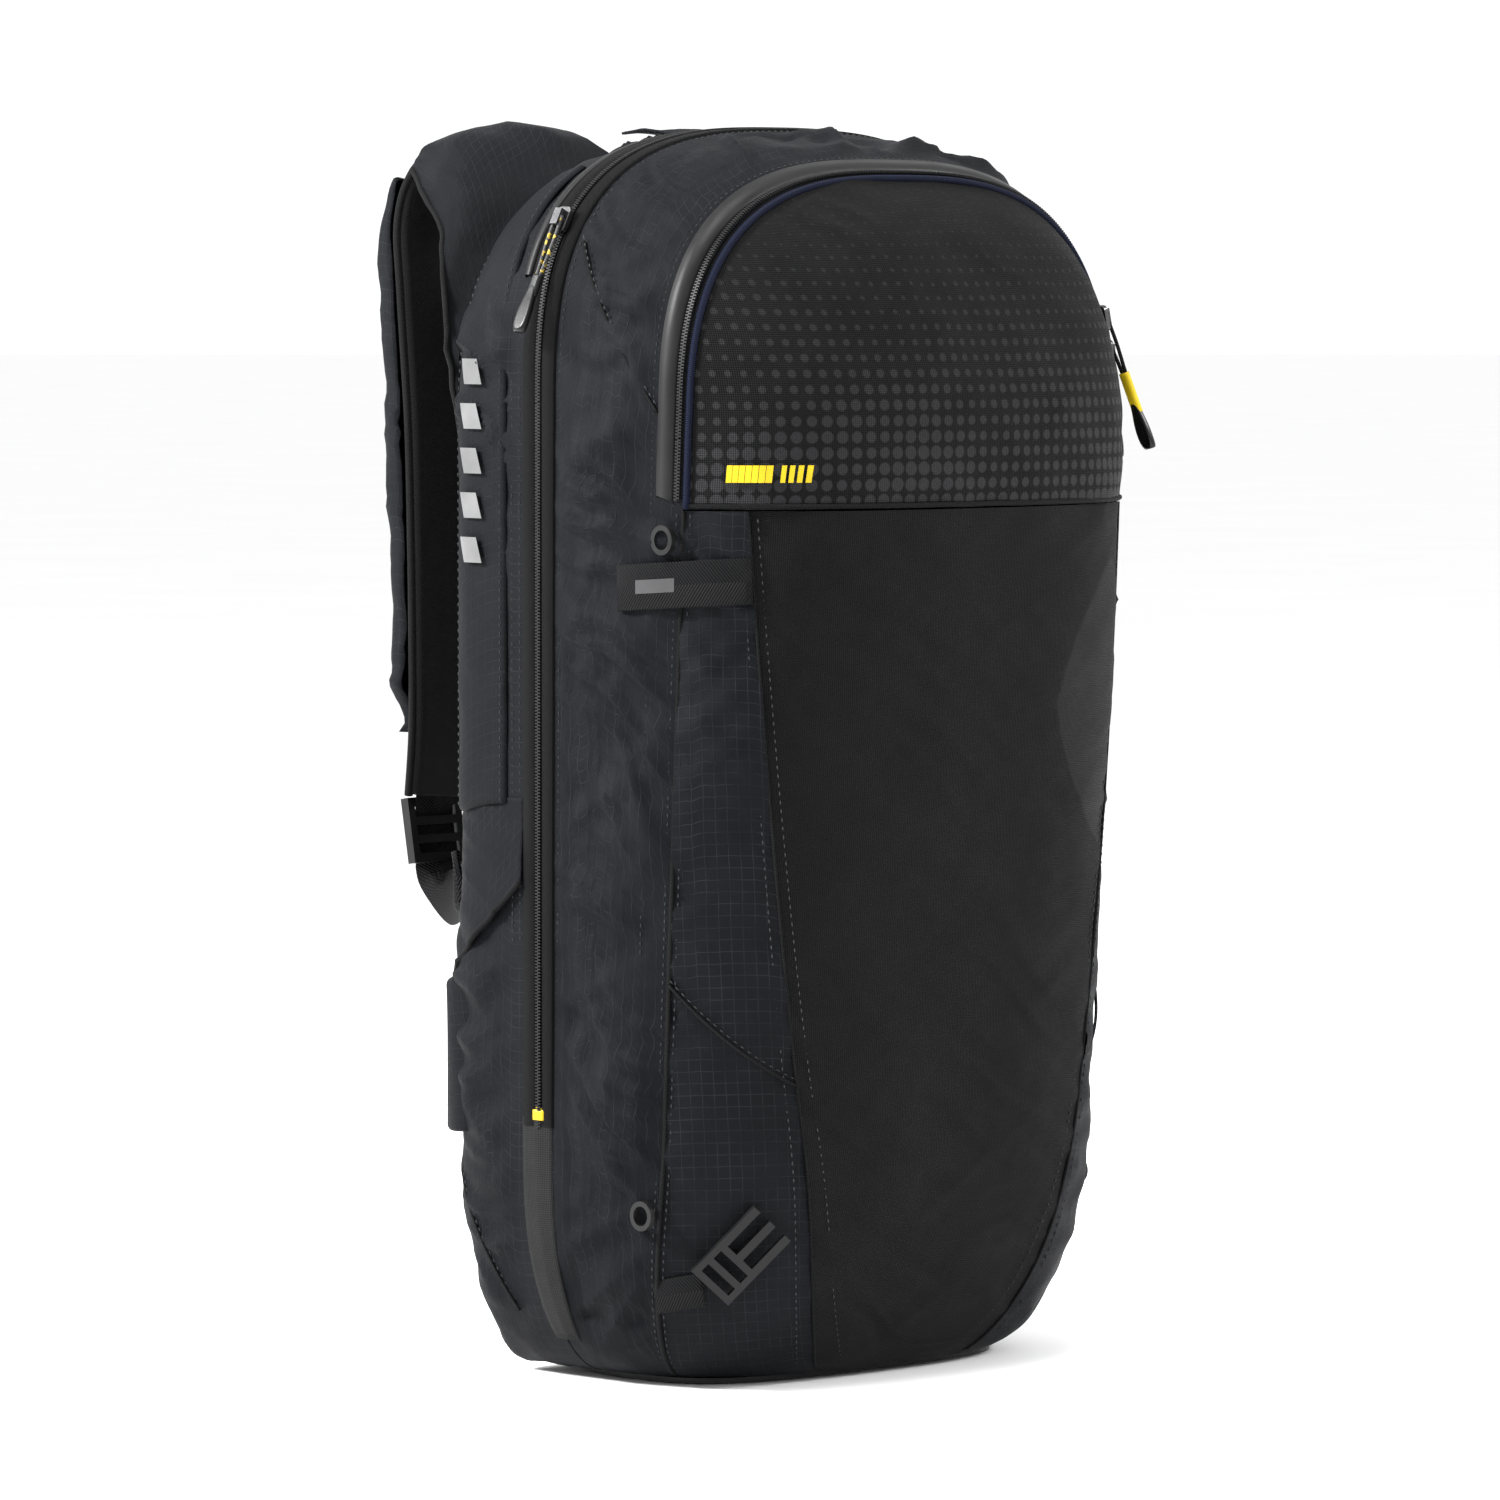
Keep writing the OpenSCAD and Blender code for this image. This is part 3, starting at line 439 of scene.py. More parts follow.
@dataclass(frozen=True)
class StudioFloor:
    """Pale seamless floor."""

    name: str = "pale_floor"

    def build(self) -> bpy.types.Material:
        """Make the material on Object coordinates."""
        b = NodeBoard(self.name)
        tone = b.mix(b.noise(b.coords(False), 3.0, 2.0), (0.86, 0.86, 0.86), (0.9, 0.9, 0.9))
        return b.finish(tone, 0.7)


class Palette:
    """Every finish of the pack, built once."""

    def __init__(self) -> None:
        """Build all materials."""
        self.ripstop = Ripstop("charcoal_ripstop", (0.0042, 0.0045, 0.0056), (0.017, 0.0175, 0.0205)).build()
        self.ripstop_dark = Ripstop("dark_ripstop", (0.0041, 0.0044, 0.0054), (0.015, 0.0155, 0.018),
                                    grid_share=0.4).build()
        self.weave = BallisticWeave("ballistic_weave", (0.0034, 0.0034, 0.0034), lozenge=True).build()
        self.dotted = BallisticWeave("dotted_weave", (0.0034, 0.0034, 0.0035), dots=True).build()
        self.plain_weave = BallisticWeave("plain_weave", (0.0095, 0.0095, 0.0096)).build()
        self.foam = FoamMesh("foam_face").build()
        self.strap_face = FoamMesh("strap_face", (0.0045, 0.0045, 0.0047), 1.2 * MM, 0.68).build()
        self.webbing = Webbing("black_webbing").build()
        self.binding = Webbing("edge_binding", (0.005, 0.005, 0.0053), 0.9 * MM, 0.6).build()
        self.piping = Webbing("blue_black_piping", (0.005, 0.0062, 0.014), 0.9 * MM, 0.6).build()
        self.zip_tape = Webbing("zip_tape", (0.0038, 0.0038, 0.004), 0.8 * MM, 0.6).build()
        self.coated_tape = Moulded("coated_zip_tape", (0.003, 0.003, 0.0032), 0.5, 300.0).build()
        self.coil = Moulded("zip_coil_plastic", (0.0035, 0.0035, 0.0038), 0.5).build()
        self.plastic = Moulded("satin_black_plastic", (0.004, 0.004, 0.0042), 0.42).build()
        self.gloss = Moulded("gloss_black_grip", (0.003, 0.003, 0.003), 0.3, coat=0.08).build()
        self.metal = Moulded("gunmetal_slider", (0.06, 0.06, 0.062), 0.3, metallic=0.9).build()
        self.steel = Moulded("plain_steel", (0.5, 0.5, 0.52), 0.3, metallic=1.0).build()
        self.yellow = Moulded("yellow_sleeve", (0.42, 0.3, 0.006), 0.5).build()
        self.grey_print = Moulded("light_grey_print", (0.09, 0.09, 0.091), 0.6).build()
        self.dim_print = Moulded("mid_grey_print", (0.035, 0.035, 0.036), 0.6).build()
        self.thread = Moulded("grey_thread", (0.022, 0.023, 0.025), 0.7).build()
        self.orange = Ripstop("orange_airbag", (0.6, 0.12, 0.02), (0.75, 0.3, 0.1)).build()
        self.cord = SpeckledCord().build()
        self.floor = StudioFloor().build()


# ---------------------------------------------------------------- mesh tools


def link(name: str, mesh: bpy.types.Mesh) -> bpy.types.Object:
    """Put a mesh in the scene as an object at the origin."""
    obj = bpy.data.objects.new(name, mesh)
    bpy.context.collection.objects.link(obj)
    return obj


def normals_of(grid: Array) -> Array:
    """Give unit normals of a grid of points, from its neighbours."""
    du = np.gradient(grid, axis=0)
    dv = np.gradient(grid, axis=1)
    n = np.cross(du, dv)
    size = np.linalg.norm(n, axis=2, keepdims=True)
    return n / np.maximum(size, 1e-9)


def arc_lengths(grid: Array) -> tuple[Array, Array]:
    """Give each grid point's distance along its row and along its column.

    Args:
        grid: points in millimetres, rows by columns by 3.

    Returns:
        Distances along the columns' direction and along the rows' direction.
    """
    across = np.linalg.norm(np.diff(grid, axis=1), axis=2)
    along = np.linalg.norm(np.diff(grid, axis=0), axis=2)
    u = np.concatenate([np.zeros((grid.shape[0], 1)), np.cumsum(across, axis=1)], axis=1)
    v = np.concatenate([np.zeros((1, grid.shape[1])), np.cumsum(along, axis=0)], axis=0)
    return u - u[:, -1:] / 2, v


def grid_object(name: str, grid: Array, outward: Array, uv: tuple[Array, Array] | None = None,
                thick: float = 0.0) -> bpy.types.Object:
    """Make a smooth surface from a grid of points.

    Args:
        name: the piece's name.
        grid: points in millimetres, rows by columns by 3.
        outward: a point inside the piece, in millimetres, that its faces point away from.
        uv: distances across and along, in millimetres; measured on the grid if left out.
        thick: wall thickness in millimetres, put on the inside.

    Returns:
        The new object.
    """
    rows, cols = grid.shape[:2]
    u, v = uv if uv is not None else arc_lengths(grid)
    n = normals_of(grid)
    away = np.sum(n * (grid - outward), axis=2).mean()
    flip = away < 0
    layers = [grid]
    if thick:
        layers.append(grid - (-n if flip else n) * thick)
    verts = np.concatenate([layer.reshape(-1, 3) for layer in layers]) * MM
    faces: list[tuple[int, ...]] = []
    for i in range(rows - 1):
        for j in range(cols - 1):
            a, b, c, d = i * cols + j, (i + 1) * cols + j, (i + 1) * cols + j + 1, i * cols + j + 1
            faces.append((a, d, c, b) if flip else (a, b, c, d))
    if thick:
        shift = rows * cols
        faces += [tuple(shift + k for k in reversed(f)) for f in list(faces)]
        rim = ([j for j in range(cols)] + [i * cols + cols - 1 for i in range(1, rows)]
               + [(rows - 1) * cols + j for j in range(cols - 2, -1, -1)]
               + [i * cols for i in range(rows - 2, 0, -1)])
        for a, b in zip(rim, rim[1:] + rim[:1]):
            faces.append((a, b, b + shift, a + shift) if not flip else (b, a, a + shift, b + shift))
    mesh = bpy.data.meshes.new(name)
    mesh.from_pydata([tuple(p) for p in verts], [], faces)
    flat_u = np.concatenate([u.reshape(-1)] * len(layers)) * MM
    flat_v = np.concatenate([v.reshape(-1)] * len(layers)) * MM
    layer = mesh.uv_layers.new(name="UVMap")
    index = np.empty(len(mesh.loops), dtype=np.int64)
    mesh.loops.foreach_get("vertex_index", index)
    uvs = np.stack([flat_u[index], flat_v[index]], axis=1)
    layer.data.foreach_set("uv", uvs.reshape(-1).astype(np.float32))
    obj = link(name, mesh)
    tidy(obj, 0.00001 if thick else 0.00002)
    return obj


def tidy(obj: bpy.types.Object, distance: float = 0.00002, smooth: bool = True) -> None:
    """Merge doubled points, drop empty faces and shade smooth."""
    bm = bmesh.new()
    bm.from_mesh(obj.data)
    bmesh.ops.remove_doubles(bm, verts=bm.verts, dist=distance)
    bmesh.ops.dissolve_degenerate(bm, edges=bm.edges, dist=distance * 0.5)
    for face in bm.faces:
        face.smooth = smooth
    bm.to_mesh(obj.data)
    bm.free()
    obj.data.update()


def frames_along(path: Array, hint: Array) -> tuple[Array, Array, Array]:
    """Give the direction, side and normal at each point of a path.

    Args:
        path: points, n by 3.
        hint: preferred side direction at each point, n by 3 or one vector.

    Returns:
        Unit tangents, sides and normals.
    """
    t = np.gradient(path, axis=0)
    t /= np.linalg.norm(t, axis=1, keepdims=True)
    side = np.broadcast_to(hint, path.shape).astype(float)
    side = side - np.sum(side * t, axis=1, keepdims=True) * t
    side /= np.linalg.norm(side, axis=1, keepdims=True)
    return t, side, np.cross(t, side)


def swept(name: str, path: Array, hint: Array, section: Callable[[int], Array]) -> bpy.types.Object:
    """Sweep a closed section along a path and close both ends with a fan.

    Args:
        name: the piece's name.
        path: points in millimetres, n by 3.
        hint: side directions.
        section: gives the outline (side, normal) at a path index, in millimetres.

    Returns:
        The new object.
    """
    _, side, normal = frames_along(path, hint)
    rings = []
    for i in range(len(path)):
        outline = section(i)
        rings.append(path[i] + outline[:, :1] * side[i] + outline[:, 1:] * normal[i])
    grid = np.array(rings)
    m = grid.shape[1]
    verts = [tuple(p) for p in (grid.reshape(-1, 3) * MM)]
    faces = [(i * m + j, i * m + (j + 1) % m, (i + 1) * m + (j + 1) % m, (i + 1) * m + j)
             for i in range(len(path) - 1) for j in range(m)]
    for ring, order in ((0, -1), (len(path) - 1, 1)):
        centre = len(verts)
        verts.append(tuple(grid[ring].mean(axis=0) * MM))
        for j in range(m):
            a, b = ring * m + j, ring * m + (j + 1) % m
            faces.append((centre, a, b) if order > 0 else (centre, b, a))
    mesh = bpy.data.meshes.new(name)
    mesh.from_pydata(verts, [], faces)
    steps = np.concatenate([[0], np.cumsum(np.linalg.norm(np.diff(path, axis=0), axis=1))])
    layer = mesh.uv_layers.new(name="UVMap")
    first = section(0)
    for loop in mesh.loops:
        k = loop.vertex_index
        if k < len(path) * m:
            layer.data[loop.index].uv = (first[k % m][0] * MM, steps[k // m] * MM)
        else:
            layer.data[loop.index].uv = (0.0, steps[0 if k == len(path) * m else -1] * MM)
    obj = link(name, mesh)
    bm = bmesh.new()
    bm.from_mesh(mesh)
    bmesh.ops.recalc_face_normals(bm, faces=bm.faces)
    bm.to_mesh(mesh)
    bm.free()
    mesh.shade_smooth()
    return obj


def circle(radius: float, count: int = 10) -> Array:
    """Give a circle's outline."""
    a = np.arange(count) * math.tau / count
    return np.stack([radius * np.cos(a), radius * np.sin(a)], axis=1)


def rounded(width: float, height: float, corner: float, steps: int = 4) -> Array:
    """Give a rounded rectangle's outline."""
    corner = min(corner, width / 2 - 0.01, height / 2 - 0.01)
    points = []
    for k, (sx, sy) in enumerate(((1, 1), (-1, 1), (-1, -1), (1, -1))):
        for s in range(steps + 1):
            a = (k + s / steps) * math.pi / 2
            points.append((sx * (width / 2 - corner) + corner * math.cos(a),
                           sy * (height / 2 - corner) + corner * math.sin(a)))
    return np.array(points)


def spline(points: Sequence[Sequence[float]], steps: int) -> Array:
    """Give a smooth curve through the points.

    Args:
        points: the points.
        steps: curve steps to each span.

    Returns:
        Points along the curve.
    """
    p = np.array(points, dtype=float)
    out = []
    for i in range(len(p) - 1):
        a, b, c, d = p[max(i - 1, 0)], p[i], p[i + 1], p[min(i + 2, len(p) - 1)]
        for s in range(steps):
            t = s / steps
            out.append(0.5 * (2 * b + (c - a) * t + (2 * a - 5 * b + 4 * c - d) * t * t
                              + (3 * b - a - 3 * c + d) * t ** 3))
    out.append(p[-1])
    return np.array(out)


def dress(obj: bpy.types.Object, material: bpy.types.Material) -> None:
    """Give a piece one material."""
    obj.data.materials.clear()
    obj.data.materials.append(material)


def fit_on(obj: bpy.types.Object, body: str, slot: str, *nodes: str) -> bpy.types.Object:
    """Attach a finished piece to its body and hide the CAD nodes it stands for.

    Args:
        obj: the piece.
        body: the body it rides on.
        slot: not used.
        nodes: CAD nodes that it replaces.

    Returns:
        The piece.
    """
    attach(obj, body)
    if nodes:
        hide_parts(*nodes)
    LOG.info("%s: %d faces on %s", obj.name, len(obj.data.polygons), body)
    return obj


# ---------------------------------------------------------------- the pack's shape


def share(t: float, n: float) -> float:
    """Give the other leg of a superellipse's unit arc."""
    return max(0.0, 1 - min(1.0, abs(t)) ** n) ** (1 / n)


@dataclass(frozen=True)
class BodyShape:
    """Outer surface of the pack in millimetres, lofted along its depth and tapered below."""

    half_w: float
    top_z: float
    base_z: float
    back_y: float
    hem_z: float
    booster_d: float = 152.0
    base_d: float = 76.0
    corner_h: float = 130.0
    heel_h: float = 95.0

    @classmethod
    def from_frame(cls) -> "BodyShape":
        """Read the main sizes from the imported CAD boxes."""
        shell_lo, shell_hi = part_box("base_shell")
        flap_lo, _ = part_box("front_flap")
        return cls(shell_hi.x / MM, shell_hi.z / MM, shell_lo.z / MM, shell_hi.y / MM, flap_lo.z / MM)

    def reach(self, v: float) -> float:
        """Give how far out a depth is, from 0 at the zip to 1 at the face."""
        return abs(v) / (self.booster_d if v < 0 else self.base_d)

    def wide(self, v: float) -> float:
        """Give the half width at a depth."""
        return self.half_w * share(self.reach(v), 2.8 if v < 0 else 6)

    def high(self, v: float) -> float:
        """Give the top's height at a depth."""
        if v < 0:
            return self.top_z - 160 * (1 - share(self.reach(v), 2.2))
        return self.top_z - 70 * (1 - share(self.reach(v), 2.4))

    def low(self, v: float) -> float:
        """Give the bottom's height at a depth."""
        if v < 0:
            return self.base_z
        return self.base_z + 97 * (1 - share(max(0.0, (self.reach(v) - 0.61) / 0.39), 2))

    def slope(self, z: float) -> float:
        """Give how much of the front's depth is left at a height."""
        if z > 460:
            return 1.0
        if z > 134:
            return 1 - 0.17 * (460 - z) / 326
        return 0.83 * (0.56 + 0.44 * share((134 - z) / 134, 1.7))

    def depth_at(self, v: float, z: float) -> float:
        """Give the real depth of a loft depth at a height."""
        return v * self.slope(z) if v < 0 else v

    def bends(self, v: float, off: float = 0.0) -> tuple[float, float, float, float, float]:
        """Give half width, top, bottom, corner and heel heights at a loft depth."""
        shrink = math.sqrt(max(self.wide(v), 0.0) / self.half_w)
        return (self.wide(v) + off, self.high(v) + off, max(self.base_z, self.low(v) - off),
                self.corner_h * shrink, self.heel_h * shrink)

    def side_x(self, v: float, z: float) -> float:
        """Give the half width at a loft depth and height."""
        w, t, b, ch, lh = self.bends(v)
        if z > t - ch:
            return w * share((z - t + ch) / max(ch, 1e-6), 2.8)
        if z < b + lh:
            return w * (0.7 + 0.3 * share((b + lh - z) / max(lh, 1e-6), 2.2))
        return w

    def side_u(self, v: float, z: float) -> float:
        """Give the ring position on the side at a height."""
        _, t, b, ch, lh = self.bends(v)
        if z > t - ch:
            return 3 + math.degrees(math.asin(min(1.0, (z - t + ch) / ch) ** 1.4)) / 90
        if z < b + lh:
            return 1 + math.degrees(math.acos(min(1.0, max(0.0, (b + lh - z) / lh)) ** (1 / 0.91))) / 90
        return 2 + (z - b - lh) / (t - ch - b - lh)

    def point(self, u: float, v: float, off: float = 0.0) -> tuple[float, float, float]:
        """Give a surface point.

        Args:
            u: place round the ring: 0 bottom, 2 side foot, 3 side top, 4 crown, up to 8 mirrored.
            v: loft depth.
            off: distance outside the surface.

        Returns:
            The point in millimetres.
        """
        mirror = -1.0 if u > 4 else 1.0
        u = 8 - u if u > 4 else u
        w, t, b, ch, lh = self.bends(v, off)
        if u <= 1:
            x, z = 0.7 * w * u, b
        elif u <= 2:
            a = math.radians(90 * (u - 1))
            x = w * (0.7 + 0.3 * math.sin(a) ** 0.91)
            z = b + lh * (1 - max(0.0, math.cos(a)) ** 0.91)
        elif u <= 3:
            x, z = w, b + lh + (t - ch - b - lh) * (u - 2)
        else:
            a = math.radians(90 * (u - 3))
            x = w * max(0.0, math.cos(a)) ** 0.714
            z = t - ch + ch * math.sin(a) ** 0.714
        depth = v + math.copysign(off * self.reach(v) ** 3, v)
        return mirror * x, self.depth_at(depth, z), z

    def on_side(self, side: Side, v: float, z: float, off: float = 0.0) -> tuple[float, float, float]:
        """Give a point on one side at a loft depth and height."""
        return side.value * (self.side_x(v, z) + off), self.depth_at(v, z), z

    def front_split(self, z: float) -> float:
        """Give the loft depth where the lower front panel meets the side."""
        return -113 - 0.0853 * (408 - z)


def ring_positions(shape: BodyShape, v: float, start: float, stop: float, step: float) -> Array:
    """Give ring positions with even spacing along the surface.

    Args:
        shape: the pack's surface.
        v: loft depth where the spacing is measured.
        start: first position.
        stop: last position.
        step: spacing in millimetres.

    Returns:
        The ring positions.
    """
    fine = np.linspace(start, stop, 1600)
    line = np.array([shape.point(u, v) for u in fine])
    run = np.concatenate([[0], np.cumsum(np.linalg.norm(np.diff(line, axis=0), axis=1))])
    return np.interp(np.linspace(0, run[-1], int(run[-1] / step) + 1), run, fine)


@dataclass(frozen=True)
class Creases:
    """Soft folds and diagonal creases of a light fabric."""

    folds: float = 3.0
    creases: float = 3.6
    fine: float = 0.5
    tight: float = 8.5
    seed: float = 3.7

    def lift(self, p: Array) -> float:
        """Give how far the cloth stands off its pattern at a point, in millimetres."""
        x, y, z = p
        s = self.seed
        broad = noise.noise(Vector((x / 62 + s, y / 46, z / 90)))
        slant = noise.noise(Vector(((x - y) / 50 + z / 26 + s, (x + y) / 70, z / 95 - s)))
        cross = noise.noise(Vector(((x - y) / 38 - z / 21 - s, (x + y) / 60, z / 80 + s)))
        ridge = (1 - abs(slant) * 2.6) * 0.6 + (1 - abs(cross) * 3.0) * 0.4
        small = noise.noise(Vector((x / 9, y / 9 + s, z / 11)))
        lean = z * 0.82 - y * 0.57 + x * 0.4
        run = z * 0.5 + y * 0.8
        pull = noise.noise(Vector((lean / 15 + broad * 1.4, run / 80 + s, x / 130)))
        gather = max(0.0, noise.noise(Vector((run / 70 - s, lean / 85, s))) + 0.28)
        pleat = max(0.0, 1 - abs(pull) * 3.4) * gather
        sharp = self.creases * max(-0.6, ridge) * (0.4 + abs(broad) * 2)
        return self.tight * pleat + self.folds * broad + sharp + self.fine * small

    def apply(self, grid: Array, gain: Array | float, base: Array | None = None) -> Array:
        """Move a grid along its normals by the folds.

        Args:
            grid: points in millimetres.
            gain: how strong the folds are at each point.
            base: normals to move along; measured on the grid if left out.

        Returns:
            The moved grid.
        """
        n = normals_of(grid) if base is None else base
        centre = np.array([0.0, -30.0, 280.0])
        n = n * np.sign(np.sum(n * (grid - centre), axis=2, keepdims=True) + 1e-9)
        lifts = np.array([[self.lift(p) for p in row] for row in grid])
        moved = grid + n * ((lifts - 0.9) * gain)[..., None]
        moved[..., 2] = np.maximum(moved[..., 2], 0.3)
        return moved


@dataclass(frozen=True)
class Stitching:
    """A row of short raised thread stitches."""

    length: float = 2.6
    gap: float = 1.5
    thick: float = 0.45

    def build(self, name: str, lines: Iterable[Array], outs: Iterable[Array]) -> bpy.types.Object:
        """Make stitches along lines on a surface.

        Args:
            name: the piece's name.
            lines: point rows in millimetres.
            outs: for each line, the direction off the cloth at each point.

        Returns:
            The new object.
        """
        verts: list[tuple[float, float, float]] = []
        faces: list[tuple[int, ...]] = []
        for line, out in zip(lines, outs):
            run = np.concatenate([[0], np.cumsum(np.linalg.norm(np.diff(line, axis=0), axis=1))])
            starts = np.arange(0.5, run[-1] - self.length, self.length + self.gap)
            for s in starts:
                a = np.array([np.interp(s, run, line[:, k]) for k in range(3)])
                b = np.array([np.interp(s + self.length, run, line[:, k]) for k in range(3)])
                n = np.array([np.interp(s, run, out[:, k]) for k in range(3)])
                n /= max(np.linalg.norm(n), 1e-9)
                t = (b - a) / max(np.linalg.norm(b - a), 1e-9)
                w = np.cross(t, n) * self.thick
                lift = n * self.thick
                mid = (a + b) / 2
                base = len(verts)
                for q in (a - n * 0.3, mid - w - n * 0.1, mid + w - n * 0.1, b - n * 0.3, mid + lift):
                    verts.append(tuple(q * MM))
                for f in ((0, 1, 4), (1, 3, 4), (3, 2, 4), (2, 0, 4), (0, 2, 1), (1, 2, 3)):
                    faces.append(tuple(base + k for k in f))
        mesh = bpy.data.meshes.new(name)
        mesh.from_pydata(verts, [], faces)
        obj = link(name, mesh)
        bm = bmesh.new()
        bm.from_mesh(mesh)
        bmesh.ops.recalc_face_normals(bm, faces=bm.faces)
        bm.to_mesh(mesh)
        bm.free()
        return obj


# ---------------------------------------------------------------- sub-assemblies


class Builder:
    """What every sub-assembly needs: the shape and the finishes."""

    def __init__(self, shape: BodyShape, palette: Palette) -> None:
        """Keep the shape and the finishes."""
        self.shape = shape
        self.palette = palette

    def surface_line(self, us: Iterable[float], vs: Iterable[float], off: float) -> tuple[Array, Array]:
        """Give a line on the surface and its outward directions."""
        line, out = [], []
        for u, v in zip(us, vs):
            a = np.array(self.shape.point(u, v, off))
            b = np.array(self.shape.point(u, v, off + 2))
            line.append(a)
            out.append((b - a) / max(np.linalg.norm(b - a), 1e-9))
        return np.array(line), np.array(out)

    def pipe(self, name: str, line: Array, out: Array, radius: float, material: bpy.types.Material,
             body: str = "pack", slot: str = "black_weave") -> bpy.types.Object:
        """Make a round piping along a line."""
        obj = swept(name, line, out, lambda i: circle(radius, 8))
        dress(obj, material)
        return fit_on(obj, body, slot)


@dataclass(frozen=True)
class ShellSizes:
    """Sizes of the fabric shells, in millimetres."""

    step: float = 2.8


class Shell(Builder):
    """The side, front and back fabric."""

    sizes = ShellSizes()

    def ring(self, vs: Array, us: Array, gain: Callable[[float, float], float], seed: float) -> Array:
        """Give a creased grid of the ring between two depths."""
        grid = np.array([[self.shape.point(u, v) for u in us] for v in vs])
        strength = np.array([[gain(v, p[2]) for p in row] for v, row in zip(vs, grid)])
        return Creases(seed=seed).apply(grid, strength)

    def booster(self) -> None:
        """Make the side fabric between the two zips."""
        us = ring_positions(self.shape, -45, 0, 8, self.sizes.step)
        vs = np.linspace(-0.4, -85.6, 34)

        def gain(v: float, z: float) -> float:
            front = -70.0 if z > self.shape.hem_z - 6 else -85.6
            near = min(abs(v) - 11, v - front)
            return max(0.05, min(1.0, near / 14)) * (0.45 if z < 30 else 1.0)

        grid = self.ring(vs, us, gain, 3.7)
        obj = grid_object("booster_fabric", grid, np.array([0, -40, 300.0]))
        dress(obj, self.palette.ripstop)
        fit_on(obj, "pack", "ripstop", "booster_gusset")

    def base(self) -> None:
        """Make the fabric of the part behind the main zip, with its flat back."""
        us = ring_positions(self.shape, 40, 0, 8, self.sizes.step)
        bend = np.cos(np.linspace(0, 1, 8)[1:] * math.radians(84))
        vs = np.concatenate([np.linspace(0.4, 60, 22), 76 - 16 * bend])
        back = 74.4
        vs = vs[vs < back]

        def gain(v: float, z: float) -> float:
            """Give the crease strength at one place of the ring."""
            return max(0.05, min(1.0, (abs(v) - 16) / 16)) * 0.7

        side = self.ring(np.append(vs, back), us, gain, 9.1)
        last = side[-1]
        centre = np.array([0.0, back, 300.0])
        shrink = [centre + (last - centre) * k * np.array([1, 0, 1]) for k in
                  (0.985, 0.94, 0.85, 0.72, 0.55, 0.35, 0.15, 0.0)]
        for row in shrink:
            row[:, 1] = back
        grid = np.concatenate([side, np.array(shrink)])
        obj = grid_object("base_fabric", grid, np.array([0, 30, 300.0]))
        dress(obj, self.palette.ripstop)
        fit_on(obj, "pack", "ripstop", "base_shell")

    def panel_grid(self, zs: Array, v_of: Callable[[float, float], float], shares: Array, side: Side) -> Array:
        """Give a grid of one side by rows of height."""
        return np.array([[self.shape.on_side(side, v_of(z, s), z) for s in shares] for z in zs])

    def lower_front(self) -> None:
        """Make the side panels below the hem and the black front panel."""
        hem = self.shape.hem_z - 0.7
        zs = self.shape.base_z + (hem - self.shape.base_z) * np.linspace(0, 1, 150) ** 1.35
        for side in Side:
            grid = self.panel_grid(zs, lambda z, s: -86.0 + (self.shape.front_split(z) + 86.0) * s,
                                   np.linspace(0, 1, 14), side)
            gain = np.ones(grid.shape[:2]) * np.clip((zs[:, None] - 3) / 40, 0.1, 0.8)
            grid = Creases(1.8, 2.2, 0.4, 6.0, 5.5).apply(grid, gain)
            obj = grid_object(f"side_panel_{side.name.lower()}", grid, np.array([0, -60, 200.0]))
            dress(obj, self.palette.ripstop)
            fit_on(obj, "pack", "ripstop", *(("booster_side_panel",) if side is Side.LEFT else ()))
        bows = np.sin(np.linspace(-1, 1, 91) * math.pi / 2)
        rows = []
        for z in zs:
            edge = self.shape.front_split(z)
            face = self.shape.booster_d
            row = []
            for s in bows:
                v = edge - (face + edge) * (1 - abs(s) ** 1.6)
                row.append((math.copysign(1, s) * self.shape.side_x(v, z), self.shape.depth_at(v, z), z))
            rows.append(row)
        grid = np.array(rows)
        grid = self.resample(grid, 91)
        gain = np.ones(grid.shape[:2]) * np.clip((zs[:, None] - 3) / 50, 0.1, 0.55)
        grid = Creases(3.0, 1.6, 0.2, 2.4, 1.3).apply(grid, gain)
        obj = grid_object("lower_front_fabric", grid, np.array([0, -60, 200.0]))
        dress(obj, self.palette.weave)
        fit_on(obj, "pack", "black_weave", "front_panel")

    @staticmethod
    def resample(grid: Array, count: int) -> Array:
        """Space the points of each row evenly."""
        rows = []
        for row in grid:
            run = np.concatenate([[0], np.cumsum(np.linalg.norm(np.diff(row, axis=0), axis=1))])
            at = np.linspace(0, run[-1], count)
            rows.append(np.stack([np.interp(at, run, row[:, k]) for k in range(3)], axis=1))
        return np.array(rows)

    def upper_front(self) -> None:
        """Make the dotted cover of the front pocket, which opens with the flap."""
        hem = self.shape.hem_z
        rows = []
        tops = np.linspace(0, 1, 66)
        for k in tops:
            z = hem + (self.shape.high(-86.4) - 0.05 - hem) * math.sin(k * math.pi / 2)
            row = []
            for s in np.linspace(-1, 1, 121):
                limit = self.limit_depth(z)
                v = -86.4 - (limit - 86.4) * (1 - abs(s) ** 2.2)
                row.append((math.copysign(1, s) * self.shape.side_x(v, z), self.shape.depth_at(v, z), z))
            rows.append(row)
        grid = self.resample(np.array(rows), 111)
        gain = np.ones(grid.shape[:2]) * 0.5
        gain *= np.clip(np.minimum(np.arange(111), np.arange(111)[::-1]) / 12, 0.1, 1)[None, :]
        grid = Creases(2.4, 1.6, 0.2, 2.4, 7.7).apply(grid, gain)
        obj = grid_object("pocket_cover_fabric", grid, np.array([0, -60, 470.0]), thick=0.9)
        dress(obj, self.palette.dotted)
        fit_on(obj, "flap", "black_weave", "front_flap")

